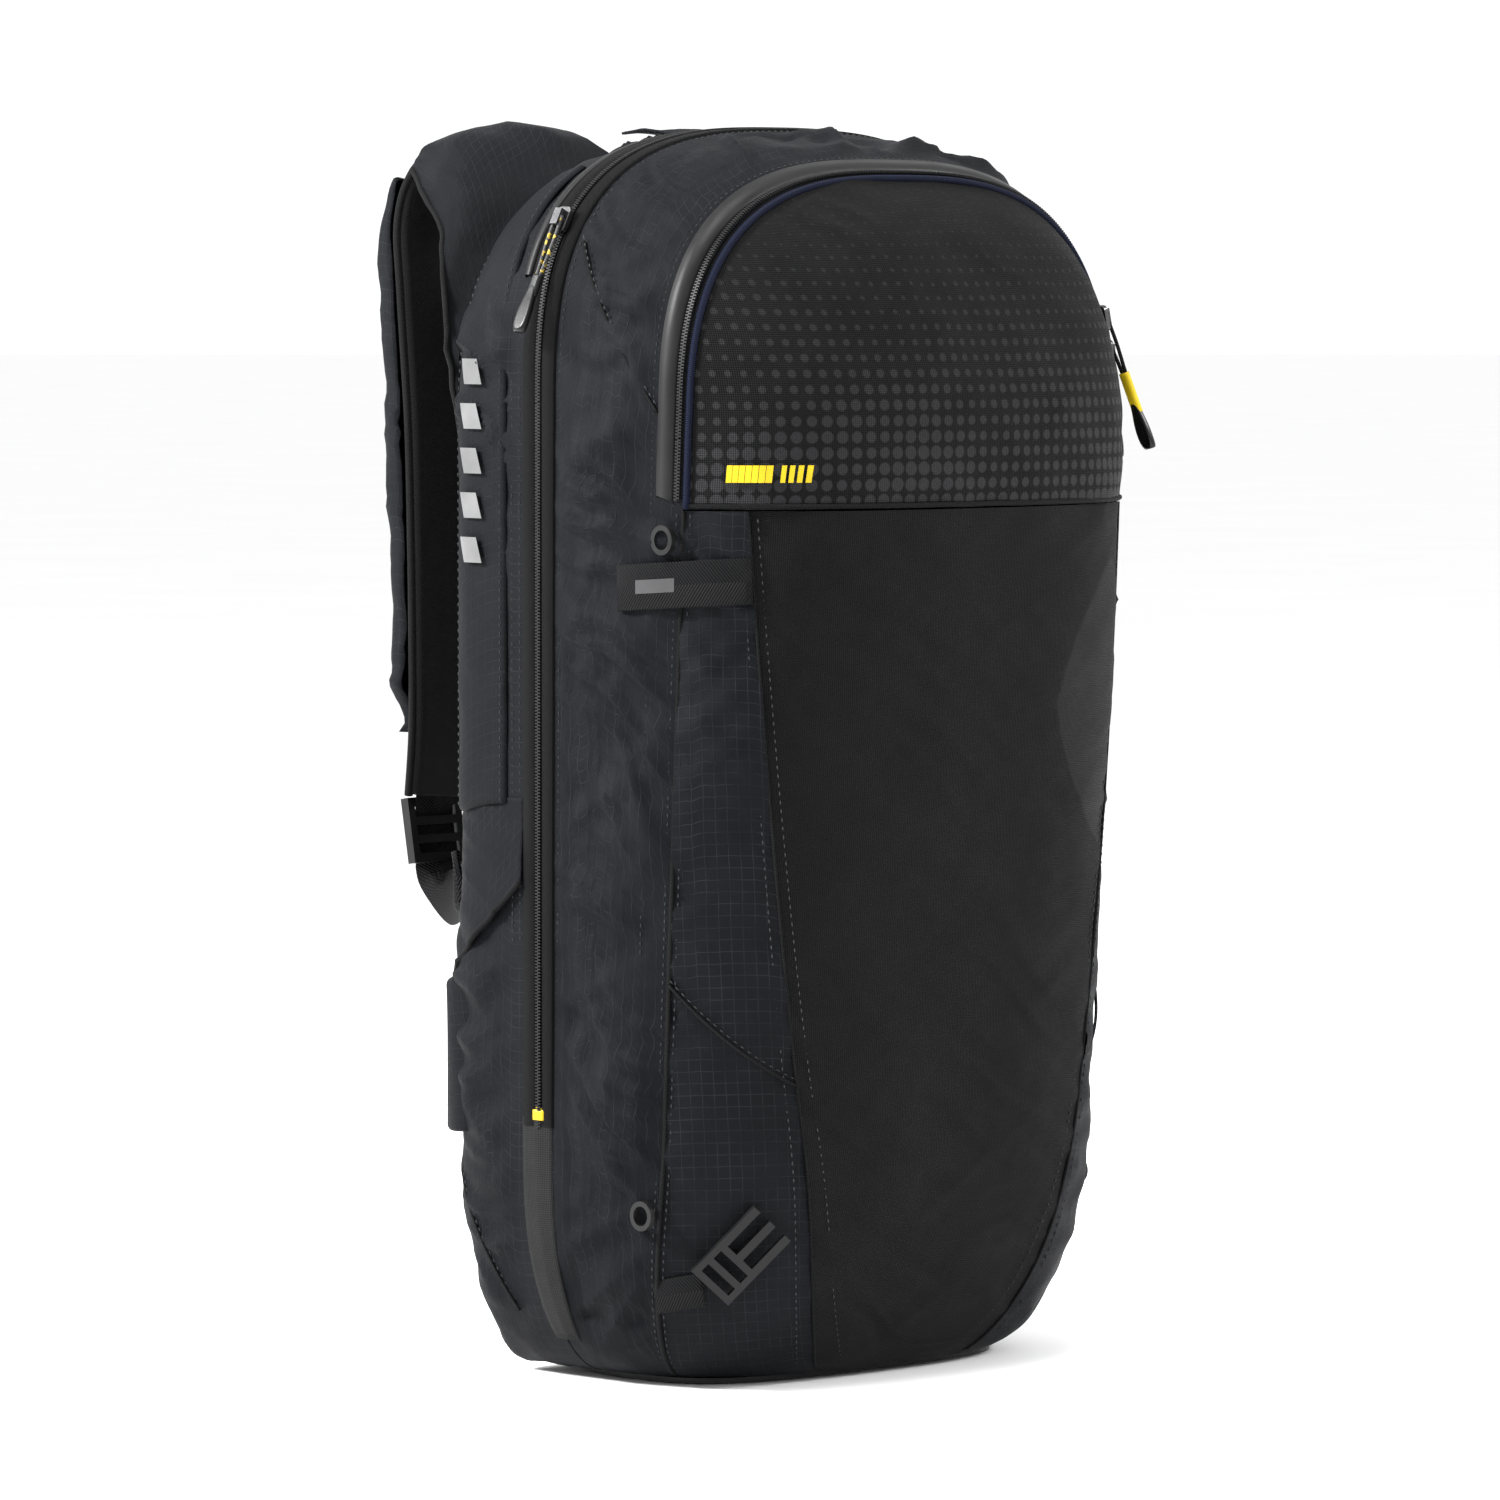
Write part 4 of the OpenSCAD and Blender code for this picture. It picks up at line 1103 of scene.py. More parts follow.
    def limit_depth(self, z: float) -> float:
        """Give the largest loft depth that reaches a height."""
        low, high = 86.4, self.shape.booster_d
        for _ in range(30):
            mid = (low + high) / 2
            if self.shape.high(-mid) > z:
                low = mid
            else:
                high = mid
        return low

    def build(self) -> None:
        """Make every fabric shell."""
        self.booster()
        self.base()
        self.lower_front()
        self.upper_front()


class Zips(Builder):
    """Tapes and coil turns of the zips."""

    def strip(self, name: str, v0: float, v1: float, low: float, off: float, thick: float,
              material: bpy.types.Material, slot: str, *nodes: str) -> None:
        """Make a flat tape over the pack between two depths."""
        start = self.shape.side_u((v0 + v1) / 2, low)
        us = ring_positions(self.shape, (v0 + v1) / 2, start, 8 - start, 3.0)
        grid = np.array([[self.shape.point(u, v, off + lift) for u in us] for v, lift in
                         ((v0, -0.4), (v0 + (v1 - v0) * 0.06, thick), (v0 + (v1 - v0) * 0.5, thick + 0.15),
                          (v0 + (v1 - v0) * 0.94, thick), (v1, -0.4))])
        obj = grid_object(name, grid, np.array([0, (v0 + v1) / 2, 300.0]))
        dress(obj, material)
        fit_on(obj, "pack", slot, *nodes)

    def teeth(self, name: str, v: float, low: float, off: float, width: float, node: str) -> None:
        """Make the coil's turns as small slanted blocks along the zip."""
        start = self.shape.side_u(v, low)
        us = ring_positions(self.shape, v, start, 8 - start, 1.5)
        line, out = self.surface_line(us, [v] * len(us), off)
        t, side, _ = frames_along(line, np.cross(np.gradient(line, axis=0), out))
        verts, faces = [], []
        for k in range(0, len(line)):
            for half in (-1, 1):
                centre = line[k] + t[k] * (0.0 if half < 0 else 0.72)
                a = centre + side[k] * half * width * 0.5
                b = centre + side[k] * half * -0.25
                e = t[k] * 0.42
                base = len(verts)
                for q in (a - e, a + e, b + e, b - e):
                    verts.append(tuple((q - out[k] * 0.3) * MM))
                for q in (a - e * 0.8, a + e * 0.8, b + e * 0.8, b - e * 0.8):
                    verts.append(tuple((q + out[k] * 1.1) * MM))
                for f in ((3, 2, 1, 0), (4, 5, 6, 7), (0, 1, 5, 4), (1, 2, 6, 5), (2, 3, 7, 6), (3, 0, 4, 7)):
                    faces.append(tuple(base + i for i in f))
        mesh = bpy.data.meshes.new(name)
        mesh.from_pydata(verts, [], faces)
        obj = link(name, mesh)
        bm = bmesh.new()
        bm.from_mesh(mesh)
        bmesh.ops.recalc_face_normals(bm, faces=bm.faces)
        bm.to_mesh(mesh)
        bm.free()
        dress(obj, self.palette.coil)
        fit_on(obj, "pack", "zip", node)

    def build(self) -> None:
        """Make every zip."""
        p = self.palette
        self.strip("main_tape_rear", 2.1, 10.8, 122, 0.4, 0.9, p.zip_tape, "zip", "main_zip_tapes")
        self.strip("main_tape_front", -10.8, -2.1, 122, 0.4, 0.9, p.zip_tape, "zip")
        self.teeth("main_coil_turns", 0.0, 122, 0.9, 3.4, "main_zip_coil")
        self.strip("cover_zip_band", 11.6, 16.0, 520, 0.4, 1.1, p.coated_tape, "zip", "cover_zip_tape")
        self.strip("pocket_tape_band", -80.8, -72.3, 417, 0.4, 0.9, p.coated_tape, "zip", "pocket_zip_tape")
        self.teeth("pocket_coil_turns", -83.1, 417, 0.9, 3.2, "pocket_zip_coil")


class HardKit:
    """Moulded pieces modelled from primitives in edit mode."""

    def __init__(self, palette: Palette) -> None:
        """Keep the finishes."""
        self.palette = palette

    @staticmethod
    def start(size: Sequence[float]) -> bpy.types.Object:
        """Add a block of a size in millimetres at the origin and enter edit mode."""
        bpy.ops.object.select_all(action="DESELECT")
        bpy.ops.mesh.primitive_cube_add(size=1)
        obj = bpy.context.object
        obj.scale = Vector(size) * MM
        bpy.ops.object.transform_apply(location=False, rotation=False, scale=True)
        bpy.ops.object.mode_set(mode="EDIT")
        bpy.ops.mesh.select_mode(type="FACE")
        bpy.ops.mesh.select_all(action="DESELECT")
        return obj

    @staticmethod
    def pick(obj: bpy.types.Object, direction: Sequence[float]) -> None:
        """Select the faces that point one way."""
        bm = bmesh.from_edit_mesh(obj.data)
        for face in bm.faces:
            face.select_set(face.normal.dot(Vector(direction)) > 0.9)
        bmesh.update_edit_mesh(obj.data)

    @staticmethod
    def place(obj: bpy.types.Object, name: str, at: Array, down: Array, side: Array,
              levels: int) -> bpy.types.Object:
        """Round a block and move its mesh into place.

        Args:
            obj: the block, in edit mode.
            name: the piece's name.
            at: where its origin goes, in millimetres.
            down: where its -Z goes.
            side: where its X goes, roughly.
            levels: subdivision levels.

        Returns:
            The finished piece.
        """
        bpy.ops.object.mode_set(mode="OBJECT")
        if levels:
            obj.modifiers.new("round", "SUBSURF").levels = levels
            bpy.ops.object.modifier_apply(modifier="round")
        z = -np.array(down, dtype=float)
        z /= np.linalg.norm(z)
        x = np.array(side, dtype=float)
        x = x - np.dot(x, z) * z
        x /= np.linalg.norm(x)
        y = np.cross(z, x)
        for vert in obj.data.vertices:
            c = vert.co
            vert.co = Vector(np.array(at) * MM + x * c.x + y * c.y + z * c.z)
        obj.name = name
        obj.data.shade_smooth()
        return obj

    def grip(self, name: str, at: Array, down: Array, side: Array, length: float,
             width: float) -> bpy.types.Object:
        """Make a moulded teardrop grip that hangs from a point."""
        obj = self.start((width, width * 0.55, length * 0.5))
        self.pick(obj, (0, 0, 1))
        bpy.ops.mesh.extrude_region_move(TRANSFORM_OT_translate={"value": (0, 0, length * 0.32 * MM)})
        bpy.ops.transform.resize(value=(0.55, 0.8, 1), center_override=(0, 0, 0))
        bpy.ops.mesh.extrude_region_move(TRANSFORM_OT_translate={"value": (0, 0, length * 0.18 * MM)})
        self.pick(obj, (0, 0, -1))
        bpy.ops.mesh.inset(thickness=width * 0.16 * MM)
        self.pick(obj, (0, 1, 0))
        bpy.ops.mesh.inset(thickness=width * 0.12 * MM)
        obj = self.place(obj, name, at, down, side, 2)
        shift = np.array(down) / np.linalg.norm(down) * length * 0.75 * MM
        for vert in obj.data.vertices:
            vert.co += Vector(shift)
        dress(obj, self.palette.gloss)
        return obj


class Pulls(Builder):
    """Zip pulls: a cord loop, a sleeve and a moulded grip."""

    def pull(self, node: str, body: str, end: Array | None, sleeve: bpy.types.Material, cord: bpy.types.Material,
             sleeve_from: float = 0.4) -> None:
        """Make one pull in the place of its CAD node.

        Args:
            node: the CAD pull.
            body: the body it rides on.
            end: lower end in millimetres, or None for the CAD box's outer lower corner.
            sleeve: finish of the sleeve.
            cord: finish of the cord.
            sleeve_from: share of the length where the sleeve starts.
        """
        lo, hi = (np.array(c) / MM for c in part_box(node))
        side = -1.0 if lo[0] < 0 else 1.0
        y = (lo[1] + hi[1]) / 2
        top = np.array([hi[0] - 1.4 if side < 0 else lo[0] + 1.4, y, hi[2] - 1.6])
        low = np.array([lo[0] + 2.6 if side < 0 else hi[0] - 2.6, y, lo[2] + 1.0]) if end is None else end
        down = low - top
        length = float(np.linalg.norm(down))
        grip_l = min(24.0, length * 0.42)
        down /= length
        cords = []
        for s in (-1, 1):
            path = spline([top + np.array([0, s * 1.9, 0]), top + down * length * 0.2 + np.array([0, s * 2.1, 0]),
                           top + down * length * sleeve_from + np.array([0, s * 1.2, 0]),
                           top + down * (length - grip_l * 0.8) + np.array([0, s * 0.9, 0])], 8)
            strand = swept(f"{node}_cord_{s}", path, np.array([0, 1, 0.1]), lambda i: circle(0.95, 10))
            dress(strand, cord)
            cords.append(fit_on(strand, body, "black_plastic"))
        runs = np.linspace(length * sleeve_from, length - grip_l * 0.78, 12)
        path = np.array([top + down * t for t in runs])
        tube = swept(f"{node}_sleeve", path, np.array([0, 1, 0.1]), lambda i: rounded(5.6, 3.6, 1.6))
        dress(tube, sleeve)
        fit_on(tube, body, "black_plastic")
        kit = HardKit(self.palette)
        grip = kit.grip(f"{node}_grip", low - down * grip_l, down, np.array([0, 1, 0]), grip_l, 8.6)
        fit_on(grip, body, "black_plastic", node)

    def build(self) -> None:
        """Make every pull."""
        p = self.palette
        self.pull("main_zip_pull", "main_pull", None, p.plastic, p.cord, 0.5)
        self.pull("pocket_pull_upper", "pocket_pull_top", np.array([162.0, -98.0, 437.0]), p.yellow, p.binding,
                  0.42)
        self.pull("pocket_pull_lower", "pocket_pull_low", None, p.yellow, p.binding, 0.34)


class Straps(Builder):
    """Shoulder straps with their sleeves, yokes and lower webbing."""

    width = 64.0
    thick = 10.0

    def centre(self) -> tuple[Array, Array]:
        """Give the left strap's centre line and widths."""
        b, t = self.shape.back_y, self.shape.top_z
        line = spline([(-52, b + 6.4, t - 76), (-52, b + 8, t - 40), (-54, b + 23, t - 17), (-58, b + 52, t - 9),
                       (-62, b + 77, t - 18), (-65, b + 86, t - 42), (-66, b + 83, t - 80), (-66, b + 78, t - 140),
                       (-66, b + 76, t - 200), (-66, b + 78, t - 250), (-67, b + 82, t - 290),
                       (-69, b + 89, t - 322)], 12)
        shares = (0.86, 0.9, 0.96, 1, 1, 1, 1, 1, 1, 0.92, 0.78, 0.6)
        widths = spline([(self.width * k, 0) for k in shares], 12)[:, 0]
        return line, widths

    def strap(self, side: Side) -> None:
        """Make one strap's foam with its piped edges."""
        line, widths = self.centre()
        mirror = np.array([-side.value, 1, 1])
        line = line * mirror
        name = side.name.lower()
        foam = swept(f"strap_foam_{name}", line, np.array([1.0, 0, 0]),
                     lambda i: rounded(widths[i] - 2, self.thick - 0.4, 4.6, 5))
        dress(foam, self.palette.strap_face)
        fit_on(foam, "pack", "foam_mesh", f"strap_{name}")
        for s in (-1, 1):
            edge = line + np.array([s, 0, 0]) * (widths / 2 - 1.2)[:, None]
            self.pipe(f"strap_binding_{name}_{s}", edge, np.array([1.0, 0, 0]), 2.1, self.palette.binding)

    def sleeve(self, side: Side) -> None:
        """Make one strap's puffy sleeve with a gathered lower end."""
        line, widths = self.centre()
        start, stop = 54, 122
        line, widths = line[start:stop] * np.array([-side.value, 1, 1]), widths[start:stop]
        count = len(line)
        _, across, normal = frames_along(line, np.array([1.0, 0, 0]))
        rows = []
        for i in range(count):
            rise = min(1.0, (i + 3) / 16) ** 0.6
            fall = min(1.0, (count - 1 - i + 3) / 11) ** 0.7
            high = 22.0 * rise * fall
            half = widths[i] / 2 - 0.5 - 3.0 * (1 - fall)
            outline = [(math.cos(a) * half, self.thick / 2 + 0.4 + high * max(0.0, math.sin(a)) ** 0.62)
                       for a in np.linspace(0, math.pi, 33)]
            rows.append([line[i] + across[i] * x - normal[i] * h for x, h in outline])
        grid = np.array(rows)
        gather = np.clip((np.arange(count) - count + 20) / 18, 0, 1)
        gain = np.ones(grid.shape[:2]) * (0.9 + 1.2 * gather[:, None])
        n = normals_of(grid)
        n = n * np.sign(np.sum(n * (grid - line[:, None, :]), axis=2, keepdims=True) + 1e-9)
        folds = Creases(1.6, 1.8, 0.4, 6.0, 4.4 + side.value)
        lift = np.array([[folds.lift(p) + 0.5 * math.sin(p[0] / 1.9) * g for p in row]
                         for row, g in zip(grid, gather)]) - 1.2
        grid = grid + n * (lift * gain)[..., None]
        name = side.name.lower()
        sunk = self.thick / 2 + 1
        lower = [line[-1] - normal[-1] * sunk + (grid[-1] - line[-1]) * k for k in (0.6, 0.3, 0.05)]
        upper = [line[0] - normal[0] * sunk + (grid[0] - line[0]) * k for k in (0.05, 0.4, 0.8)]
        flat = [np.array(row) for row in (*upper, *grid, *lower)]
        obj = grid_object(f"sleeve_fabric_{name}", np.array(flat), line.mean(axis=0), thick=0.8)
        dress(obj, self.palette.ripstop)
        fit_on(obj, "pack", "ripstop", f"strap_sleeve_{name}")
        stitch = np.array([grid[-16, j] for j in range(3, 30)])
        out = np.array([n[-16, j] for j in range(3, 30)])
        row = Stitching().build(f"sleeve_stitches_{name}", [stitch], [out])
        dress(row, self.palette.thread)
        fit_on(row, "pack", "ripstop")

    def yoke(self, side: Side) -> None:
        """Make the fabric that joins the pack's rear top to one strap."""
        b, t = self.shape.back_y, self.shape.top_z
        first = [self.shape.point(u, 66, -1.5) for u in (4.02, 4.42, 4.66, 4.86, 5.02)]
        rows = [first,
                [(-28, b + 15, t - 7), (-66, b + 15.5, t - 9), (-104, b + 12, t - 25.5), (-128, b + 10, t - 51),
                 (-141, b + 4, t - 88)],
                [(-28, b + 39, t + 1.5), (-66, b + 40, t + 1.5), (-99, b + 39, t - 5.5), (-115, b + 32, t - 25),
                 (-126, b + 23, t - 47)],
                [(-28, b + 58, t + 1), (-66, b + 59, t + 1), (-99, b + 60, t - 5), (-101, b + 66, t - 12),
                 (-101, b + 70, t - 18)]]
        fine = [spline(row, 9) for row in rows]
        columns = [spline([row[j] for row in fine], 9) for j in range(len(fine[0]))]
        grid = np.array(columns).transpose(1, 0, 2) * np.array([-side.value, 1, 1])
        centre = np.array([0, b + 10, t - 120])
        grid = Creases(1.6, 2.4, 0.3, 6.0, 2.2).apply(grid, 0.8)
        obj = grid_object(f"yoke_fabric_{side.name.lower()}", grid, centre, thick=1.2)
        dress(obj, self.palette.ripstop)
        fit_on(obj, "pack", "ripstop", f"strap_yoke_{side.name.lower()}")
        self.pipe(f"yoke_binding_{side.name.lower()}", grid[:, -1], np.array([0.3, 0.2, 1.0]), 1.5,
                  self.palette.binding)

    def webbing(self, side: Side) -> None:
        """Make the flat webbing from a ladder lock to the pack's rear edge."""
        lo, hi = (np.array(c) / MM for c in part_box(f"ladder_lock_{side.name.lower()}"))
        at = (lo + hi) / 2
        at[0] = abs(at[0]) * -1
        b, w = self.shape.back_y, self.shape.half_w
        line = spline([at + (0, -0.6, 19), at + (0, 0.2, 6), at + (0, -1.5, -8), at + (0, -4, -17),
                       at + (-4, -12, -26), at + (-18, -34, -32), at + (-40, -62, -26),
                       (-w + 21, b + 7, at[2] - 17), (-w + 20, b + 0.5, at[2] - 15)], 8)
        turns = np.linspace(0, 1, len(line))
        hints = np.array([[math.cos(math.pi / 2 * min(1, k * 1.35)), 0, math.sin(math.pi / 2 * min(1, k * 1.35))]
                          for k in turns])
        mirror = np.array([-side.value, 1, 1])
        obj = swept(f"lower_strap_{side.name.lower()}", line * mirror, hints * mirror,
                    lambda i: rounded(24.6, 1.5, 0.7, 2))
        dress(obj, self.palette.webbing)
        fit_on(obj, "pack", "webbing", f"lower_webbing_{side.name.lower()}")

    def build(self) -> None:
        """Make both straps."""
        for side in Side:
            self.strap(side)
            self.sleeve(side)
            self.yoke(side)
            self.webbing(side)


class BackAndBelt(Builder):
    """Back pads, lumbar pad, haul loop and folded hip wings."""

    def pad(self, name: str, node: str, x: float, z0: float, z1: float, width: float, thick: float) -> None:
        """Make a domed pad on the flat back."""
        rows = []
        for s in np.linspace(0, 1, 40):
            z = z0 + (z1 - z0) * s
            end = min(1.0, min(s, 1 - s) * (z1 - z0) / 16)
            half = width / 2 * (0.75 + 0.25 * math.sqrt(max(0.0, 1 - (1 - end) ** 2)))
            rows.append([(x + half * t, self.shape.back_y + 0.2 + (thick - 0.2) * (1 - abs(t) ** 6) ** 0.5
                          * (1 - (1 - end) ** 6) ** 0.5, z) for t in np.sin(np.linspace(-1, 1, 25) * math.pi / 2)])
        obj = grid_object(name, np.array(rows), np.array([x, self.shape.back_y - 20, (z0 + z1) / 2]))
        dress(obj, self.palette.foam)
        fit_on(obj, "pack", "foam_mesh", node)

    def wing(self, side: Side) -> None:
        """Make one hip wing, folded round the lower back."""
        lo, hi = (np.array(c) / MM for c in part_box(f"hip_wing_{side.name.lower()}"))
        b, w, z = self.shape.back_y, self.shape.half_w, 150.0
        y = hi[1] - 3
        line = spline([(-w + 9, 46, z + 4), (-w + 5, 60, z + 2), (-w + 13, 73.5, z), (-w + 36, y - 1, z),
                       (-80, y, z), (-36, y, z)], 10) * np.array([-side.value, 1, 1])
        n = len(line) - 1
        obj = swept(f"hip_wing_pad_{side.name.lower()}", line, np.array([0, 0, 1.0]),
                    lambda i: rounded(75.4 * (1 - 0.38 * (i / n) ** 2), 5.8, 2.8))
        dress(obj, self.palette.ripstop_dark)
        fit_on(obj, "left_belt" if side is Side.LEFT else "pack", "ripstop", f"hip_wing_{side.name.lower()}")

    def build(self) -> None:
        """Make the back and belt."""
        for s in (-1, 1):
            self.pad(f"back_pad_{s}", "back_pads", s * 42, 214, self.shape.top_z - 84, 59.6, 9)
        self.pad("lumbar_cushion", "lumbar_pad", 0, 90.5, 205.5, 147, 6.8)
        b, z = self.shape.back_y, self.shape.top_z - 66
        line = spline([(-17, b + 2, z), (-17, b + 5, z + 18), (-10, b + 7, z + 34), (10, b + 7, z + 34),
                       (17, b + 5, z + 18), (17, b + 2, z)], 8)
        loop = swept("haul_strap", line, np.array([0, 1.0, 0]), lambda i: rounded(2.8, 7.6, 1.2))
        dress(loop, self.palette.webbing)
        fit_on(loop, "pack", "webbing", "haul_loop")
        for side in Side:
            self.wing(side)


class Details(Builder):
    """Cover flaps, label, seams, piping and stitching."""

    def cover_flap(self, side: Side) -> None:
        """Make the loose flap over the airbag on one side of the base unit."""
        lo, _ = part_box(f"cover_flap_{side.name.lower()}")
        low = lo.z / MM + 4
        us = ring_positions(self.shape, 43, self.shape.side_u(40, low), 3.62, 2.8)
        rows = []
        for v in np.linspace(22, 64, 18):
            edge = 1.0 if 23 < v < 63 else 0.0
            rows.append([self.shape.point(u if side is Side.RIGHT else 8 - u, v, 1.1 + edge) for u in us])
        grid = np.array(rows)
        grid = Creases(0.7, 0.9, 0.3, 1.6, 6.1).apply(grid, 0.5)
        obj = grid_object(f"cover_flap_fabric_{side.name.lower()}", grid, np.array([0, 40, 300.0]), thick=0.9)
        dress(obj, self.palette.ripstop_dark)
        fit_on(obj, "pack", "ripstop", f"cover_flap_{side.name.lower()}")
        lines, outs = [], []
        for v in (25.5, 60.5):
            line, out = self.surface_line([u if side is Side.RIGHT else 8 - u for u in us], [v] * len(us), 2.2)
            lines.append(line)
            outs.append(out)
        row = Stitching().build(f"flap_stitches_{side.name.lower()}", lines, outs)
        dress(row, self.palette.thread)
        fit_on(row, "pack", "ripstop")

    def marks(self) -> None:
        """Make plain bars where printed marks would be."""
        def tile(name: str, v0: float, v1: float, z0: float, z1: float, off: float,
                 material: bpy.types.Material, lean: float = 0.0) -> None:
            """Lay one thin bar on the left side between two depths and two heights."""
            rows = []
            for z in np.linspace(z0, z1, 12):
                rows.append([self.shape.on_side(Side.LEFT, v + lean * (z - z0), z, off)
                             for v in np.linspace(v0, v1, 8)])
            obj = grid_object(name, np.array(rows), np.array([0, 0, 300.0]))
            dress(obj, material)
            fit_on(obj, "pack", "ripstop")

        p = self.palette
        for k in range(5):
            z = 386 + 21 * k
            tile(f"flap_mark_{k}", 36, 50, z, z + 12, 4.1, p.grey_print, 0.35)

    def label(self) -> None:
        """Make the woven loop label at the left seam, with a plain bar."""
        z = self.shape.hem_z - 37
        line = np.array([self.shape.on_side(Side.LEFT, -54 - 62 * k, z + 4 * k, 4.2 - 2.2 * abs(2 * k - 1) ** 6)
                         for k in np.linspace(0, 1, 30)])
        band = swept("label_band", line, np.array([0, 0, 1.0]), lambda i: rounded(21.6, 1.8, 0.7, 2))
        dress(band, self.palette.webbing)
        fit_on(band, "pack", "webbing", "label_loop")
        mark = []
        for k in np.linspace(0.2, 0.52, 14):
            x, y, zz = self.shape.on_side(Side.LEFT, -54 - 62 * k, z + 4 * k, 5.3)
            mark.append([(x, y, zz - 3.2), (x, y, zz), (x, y, zz + 3.2)])
        obj = grid_object("label_bar", np.array(mark), np.array([0, 0, 380.0]))
        dress(obj, self.palette.dim_print)
        fit_on(obj, "pack", "webbing")

    def seams(self) -> None:
        """Make the pipings and their stitches."""
        s, p = self.shape, self.palette
        lines, outs = [], []
        for side in Side:
            zs = np.linspace(6, s.hem_z - 1, 120)
            for key, v_of, radius in (("front", lambda z: -86.0, 1.2), ("slant", s.front_split, 0.8)):
                line = np.array([s.on_side(side, v_of(z), z, 0.2) for z in zs])
                out = np.tile(np.array([side.value, -0.4, 0.0]), (len(zs), 1))
                self.pipe(f"{key}_seam_{side.name.lower()}", line, out, radius, p.binding)
                for gap in (-3.2, 3.2):
                    lines.append(np.array([s.on_side(side, v_of(z) + gap, z, 0.35) for z in zs]))
                    outs.append(out)
        for side in Side:
            for key, v0, z0, v1, z1 in (("lower", -86.5, 192, s.front_split(145), 145), ("upper", -16, 537, -72, 458),
                                        ("rear", 62, 100, 25, 32)):
                steps = np.linspace(0, 1, 40)
                line = np.array([s.on_side(side, v0 + (v1 - v0) * k, z0 + (z1 - z0) * k, 0.9) for k in steps])
                out = np.tile(np.array([side.value, 0.0, 0.1]), (40, 1))
                self.pipe(f"{key}_slant_seam_{side.name.lower()}", line, out, 0.8, p.binding)
                lines.append(line + np.array([side.value * 0.4, 0, 3.0]))
                outs.append(out)
        arch = ring_positions(s, -86.4, s.side_u(-86.4, s.hem_z), 8 - s.side_u(-86.4, s.hem_z), 3)
        line, out = self.surface_line(arch, [-87.2] * len(arch), 0.4)
        self.pipe("pocket_arch_piping", line, out, 1.7, p.piping, "flap")
        hem = []
        for k in np.linspace(-1, 1, 121):
            v = -86.4 - (s.booster_d - 86.4) * (1 - abs(k) ** 2.2)
            across = math.copysign(1, k) * (s.side_x(v, s.hem_z + 1.5) + 0.2)
            hem.append((across, s.depth_at(v, s.hem_z), s.hem_z + 1.4))
        line = Shell.resample(np.array([hem]), 130)[0]
        self.pipe("pocket_hem_binding", line, np.array([0.0, 0, 1]), 1.3, p.binding, "flap")
        full = ring_positions(s, 66, 2.05, 5.95, 3)
        line, out = self.surface_line(full, [66.5] * len(full), 0.1)
        self.pipe("rear_edge_piping", line, out, 1.1, p.binding)
        for v in (-13.5, -69.5, 13.8, 19.0):
            us = ring_positions(s, v, 2.3, 5.7, 3)
            line, out = self.surface_line(us, [v] * len(us), 0.25)
            lines.append(line)
            outs.append(out)
        obj = Stitching().build("seam_stitches", lines, outs)
        dress(obj, p.thread)
        fit_on(obj, "pack", "ripstop")

    def side_pocket(self) -> None:
        """Make the slanted flap over the opening where the hip wing leaves the base unit."""
        for side in Side:
            rows = []
            for k in np.linspace(0, 1, 26):
                row = []
                for v in np.linspace(11, 66, 24):
                    edge = 237 - 49 * (v - 11) / 55
                    z = edge + (276 - edge) * k
                    row.append(self.shape.on_side(side, v, z, 0.4 + 2.8 * (1 - k) ** 1.5))
                rows.append(row)
            grid = Creases(0.8, 1.6, 0.3, 3.5, 8.3).apply(np.array(rows), 0.7)
            obj = grid_object(f"wing_flap_{side.name.lower()}", grid, np.array([0, 30, 250.0]), thick=1.0)
            dress(obj, self.palette.ripstop)
            fit_on(obj, "pack", "ripstop")
            out = np.tile(np.array([side.value, 0.0, 0.2]), (grid.shape[1], 1))
            self.pipe(f"wing_flap_edge_{side.name.lower()}", grid[0], out, 1.5, self.palette.binding)

    def product_mark(self) -> None:
        """Make a short row of plain yellow blocks above the pocket's hem."""
        s = self.shape
        for k, wide in enumerate((5.0, 5.0, 5.0, 5.0, 5.0, 5.0, 5.0, 0.0, 3.4, 3.4, 3.4, 3.4)):
            if not wide:
                continue
            v = 104.5 + 5.6 * k * 0.42
            rows = [[s.on_side(Side.LEFT, -(v + w * 0.6 + (z - s.hem_z) * 0.04), z, 2.4)
                     for w in np.linspace(0, wide * 0.72, 4)]
                    for z in np.linspace(s.hem_z + 12.5, s.hem_z + 20.5, 4)]
            obj = grid_object(f"product_mark_{k}", np.array(rows), np.array([0, -60, 420.0]))
            dress(obj, self.palette.yellow)
            fit_on(obj, "flap", "black_weave")

    def ski_tape(self) -> None:
        """Make the short webbing that holds the ski buckle."""
        line = np.array([self.shape.on_side(Side.LEFT, -86 - 28 * k, 45 + 4.5 * k, 1.6 + 4 * k)
                         for k in np.linspace(0, 1, 16)])
        obj = swept("ski_tape", line, np.array([0, 0, 1.0]), lambda i: rounded(15.6, 1.5, 0.6, 2))
        dress(obj, self.palette.webbing)
        fit_on(obj, "pack", "webbing", "ski_webbing")

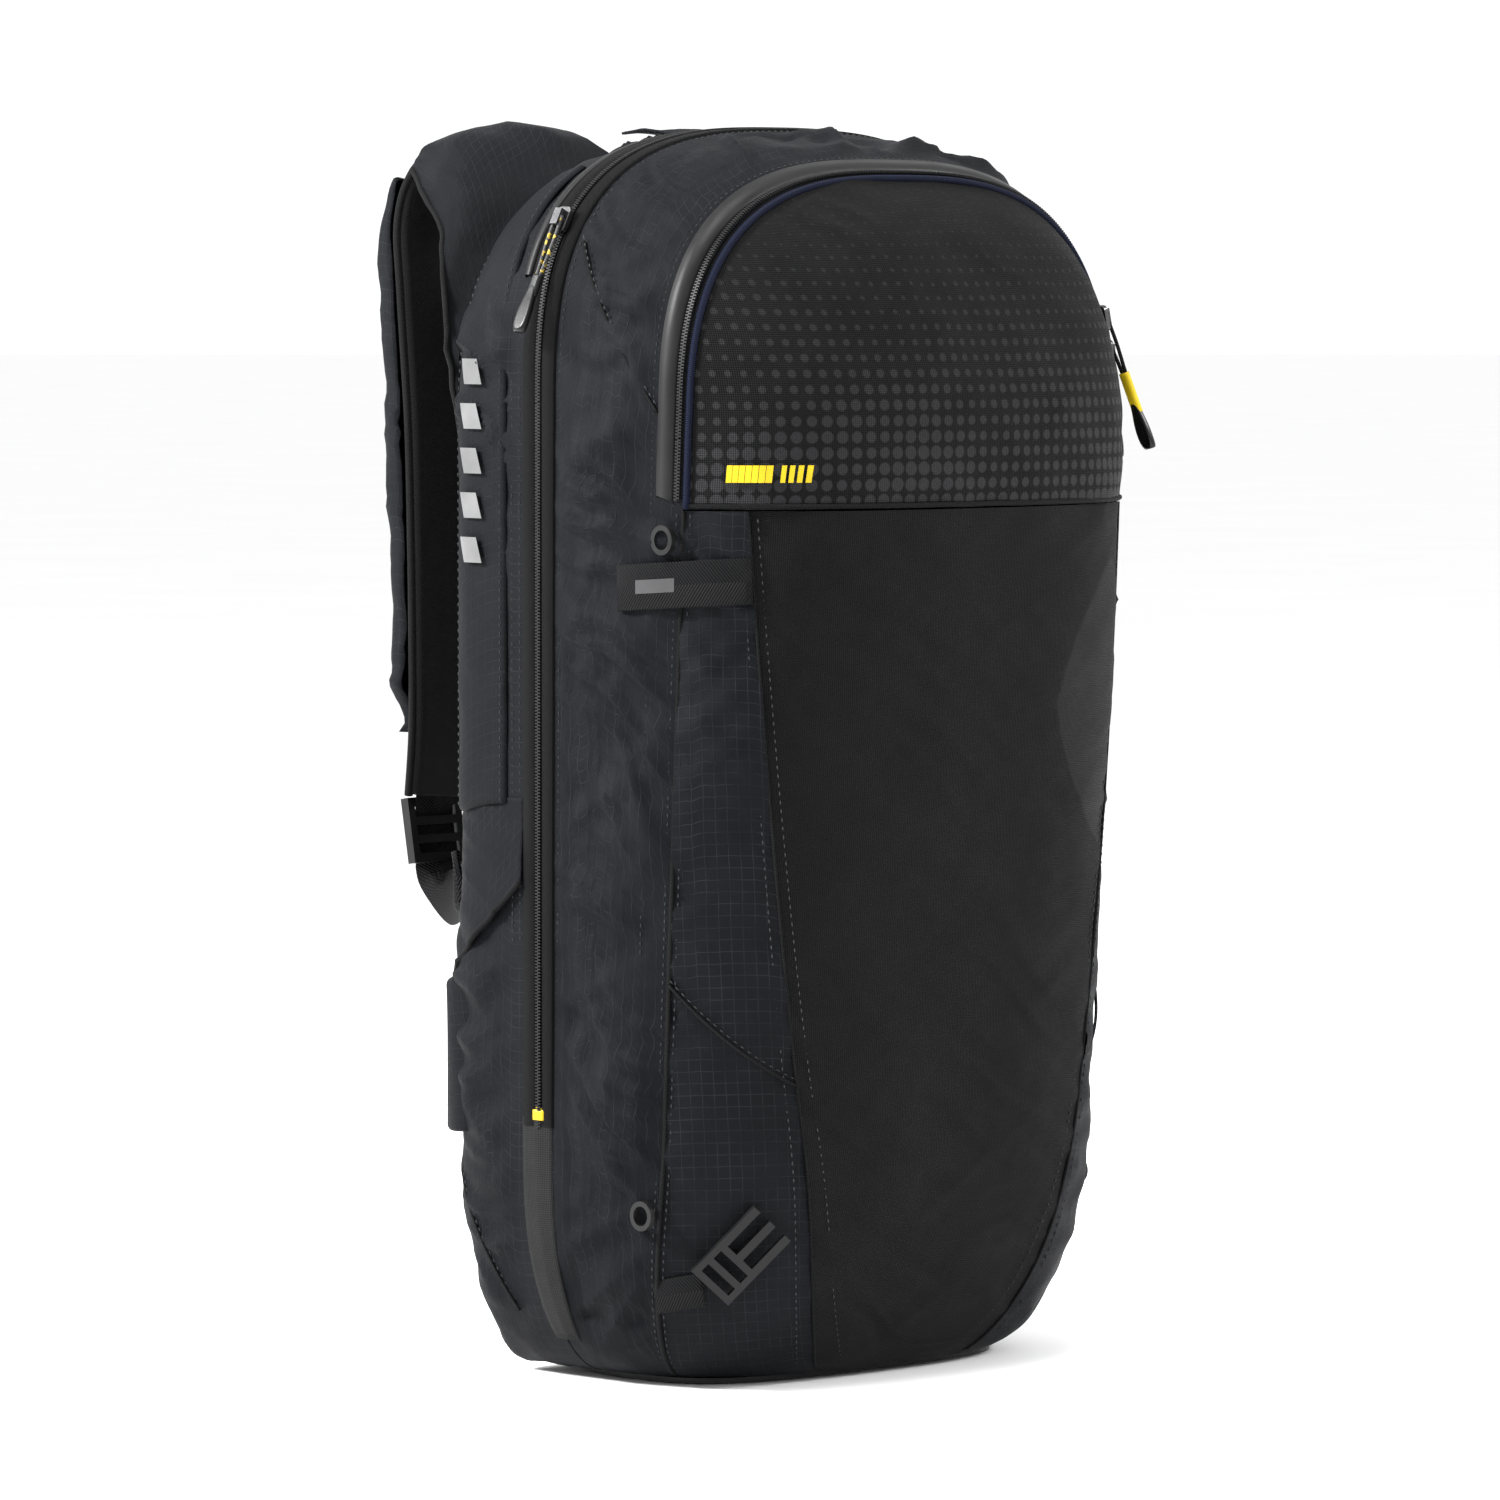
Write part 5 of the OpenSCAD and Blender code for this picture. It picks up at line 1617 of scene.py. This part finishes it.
    def garage(self) -> None:
        """Make the curved strip that guards the main zip's lower end."""
        s = self.shape
        low, top = 20, 126
        zs = np.linspace(low, top, 36)
        for side in Side:
            rows = [[s.on_side(side, v - 5 * ((top - z) / (top - low)) ** 2, z, 1.6 - 1.3 * abs(v - 1) / 11)
                     for v in np.linspace(-10, 12, 9)] for z in zs]
            obj = grid_object(f"zip_garage_{side.name.lower()}", np.array(rows), np.array([0, 0, 80.0]), thick=0.7)
            dress(obj, self.palette.plain_weave)
            fit_on(obj, "pack", "ripstop")
            stop = [[s.on_side(side, v, z, 2.1 if -4 < v < 4 and z < 129.5 else 0.9)
                     for v in np.linspace(-4.6, 4.6, 8)] for z in np.linspace(125, 131, 8)]
            bar = grid_object(f"zip_stop_{side.name.lower()}", np.array(stop), np.array([0, 0, 128.0]), thick=0.5)
            dress(bar, self.palette.yellow)
            fit_on(bar, "pack", "zip")

    def build(self) -> None:
        """Make every detail."""
        for side in Side:
            self.cover_flap(side)
        self.marks()
        self.label()
        self.seams()
        self.side_pocket()
        self.product_mark()
        self.ski_tape()
        self.garage()


PARTS = (Shell, Zips, Pulls, Straps, BackAndBelt, Details)


# ---------------------------------------------------------------- studio


@dataclass(frozen=True)
class Studio:
    """Camera, floor and soft lights."""

    azimuth: float = -45.0
    elevation: float = 3.2
    distance: float = 4.2
    lens: float = 209.5
    target: tuple[float, float, float] = (-0.0075, 0.0075, 0.293)

    def camera(self) -> None:
        """Make the camera and aim it."""
        a, e = math.radians(self.azimuth), math.radians(self.elevation)
        back = Vector((math.sin(a) * math.cos(e), -math.cos(a) * math.cos(e), math.sin(e)))
        data = bpy.data.cameras.new("camera")
        data.lens = self.lens
        data.sensor_width = 36.0
        data.clip_start, data.clip_end = 0.1, 50.0
        cam = bpy.data.objects.new("camera", data)
        bpy.context.collection.objects.link(cam)
        cam.location = Vector(self.target) + back * self.distance
        cam.rotation_euler = back.to_track_quat("Z", "Y").to_euler()
        bpy.context.scene.camera = cam

    def light(self, name: str, at: Sequence[float], size: float, power: float) -> None:
        """Add a square soft light that faces the pack."""
        data = bpy.data.lights.new(name, "AREA")
        data.size = size
        data.energy = power
        lamp = bpy.data.objects.new(name, data)
        bpy.context.collection.objects.link(lamp)
        lamp.location = at
        lamp.rotation_euler = (Vector(at) - Vector(self.target)).to_track_quat("Z", "Y").to_euler()

    def build(self, palette: Palette) -> None:
        """Make the whole studio."""
        self.camera()
        mesh = bpy.data.meshes.new("floor")
        corners = [(-40, -40, -0.0005), (40, -40, -0.0005), (40, 40, -0.0005), (-40, 40, -0.0005)]
        mesh.from_pydata(corners, [], [(0, 1, 2, 3)])
        floor = link("floor", mesh)
        dress(floor, palette.floor)
        self.light("key_left", (-2.1, 1.1, 1.9), 0.5, 190)
        self.light("fill_right", (1.9, -1.9, 1.9), 0.7, 75)
        self.light("top_soft", (-0.4, -0.3, 2.6), 0.9, 50)
        self.light("rim_back", (-1.6, 2.0, 1.6), 0.8, 50)
        world = bpy.data.worlds.new("white_room")
        world.use_nodes = True
        world.node_tree.nodes["Background"].inputs[0].default_value = (1, 1, 1, 1)
        world.node_tree.nodes["Background"].inputs[1].default_value = 1.09
        bpy.context.scene.world = world
        bpy.context.scene.view_settings.view_transform = "Standard"


class CadFinishes:
    """Finishes for the CAD nodes that stay as they are."""

    def __init__(self, frame: dict, palette: Palette) -> None:
        """Keep the frame's objects and the finishes."""
        self.frame = frame
        self.palette = palette

    def build(self) -> None:
        """Give each kept CAD node a finish by its name."""
        p = self.palette
        rules = (("trigger_button", p.yellow), ("impeller", p.plastic), ("shaft", p.steel), ("bearings", p.steel),
                 ("screws", p.steel), ("stays", p.steel), ("pin", p.steel), ("motor", p.metal), ("slider", p.metal),
                 ("airbag", p.orange))
        for name, node in self.frame["nodes"].items():
            match = [finish for word, finish in rules if word in name]
            obj = node if isinstance(node, bpy.types.Object) else bpy.data.objects.get(name)
            if obj is None:
                LOG.warning("no object for %s", name)
                continue
            dress(obj, match[0] if match else p.plastic)


def main() -> None:
    """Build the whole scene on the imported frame."""
    logging.basicConfig(level=logging.INFO, format="%(levelname)s %(message)s")
    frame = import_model()
    bpy.ops.object.select_all(action="DESELECT")
    shape = BodyShape.from_frame()
    palette = Palette()
    CadFinishes(frame, palette).build()
    for part in PARTS:
        part(shape, palette).build()
    Studio().build(palette)


if __name__ == "__main__":
    main()
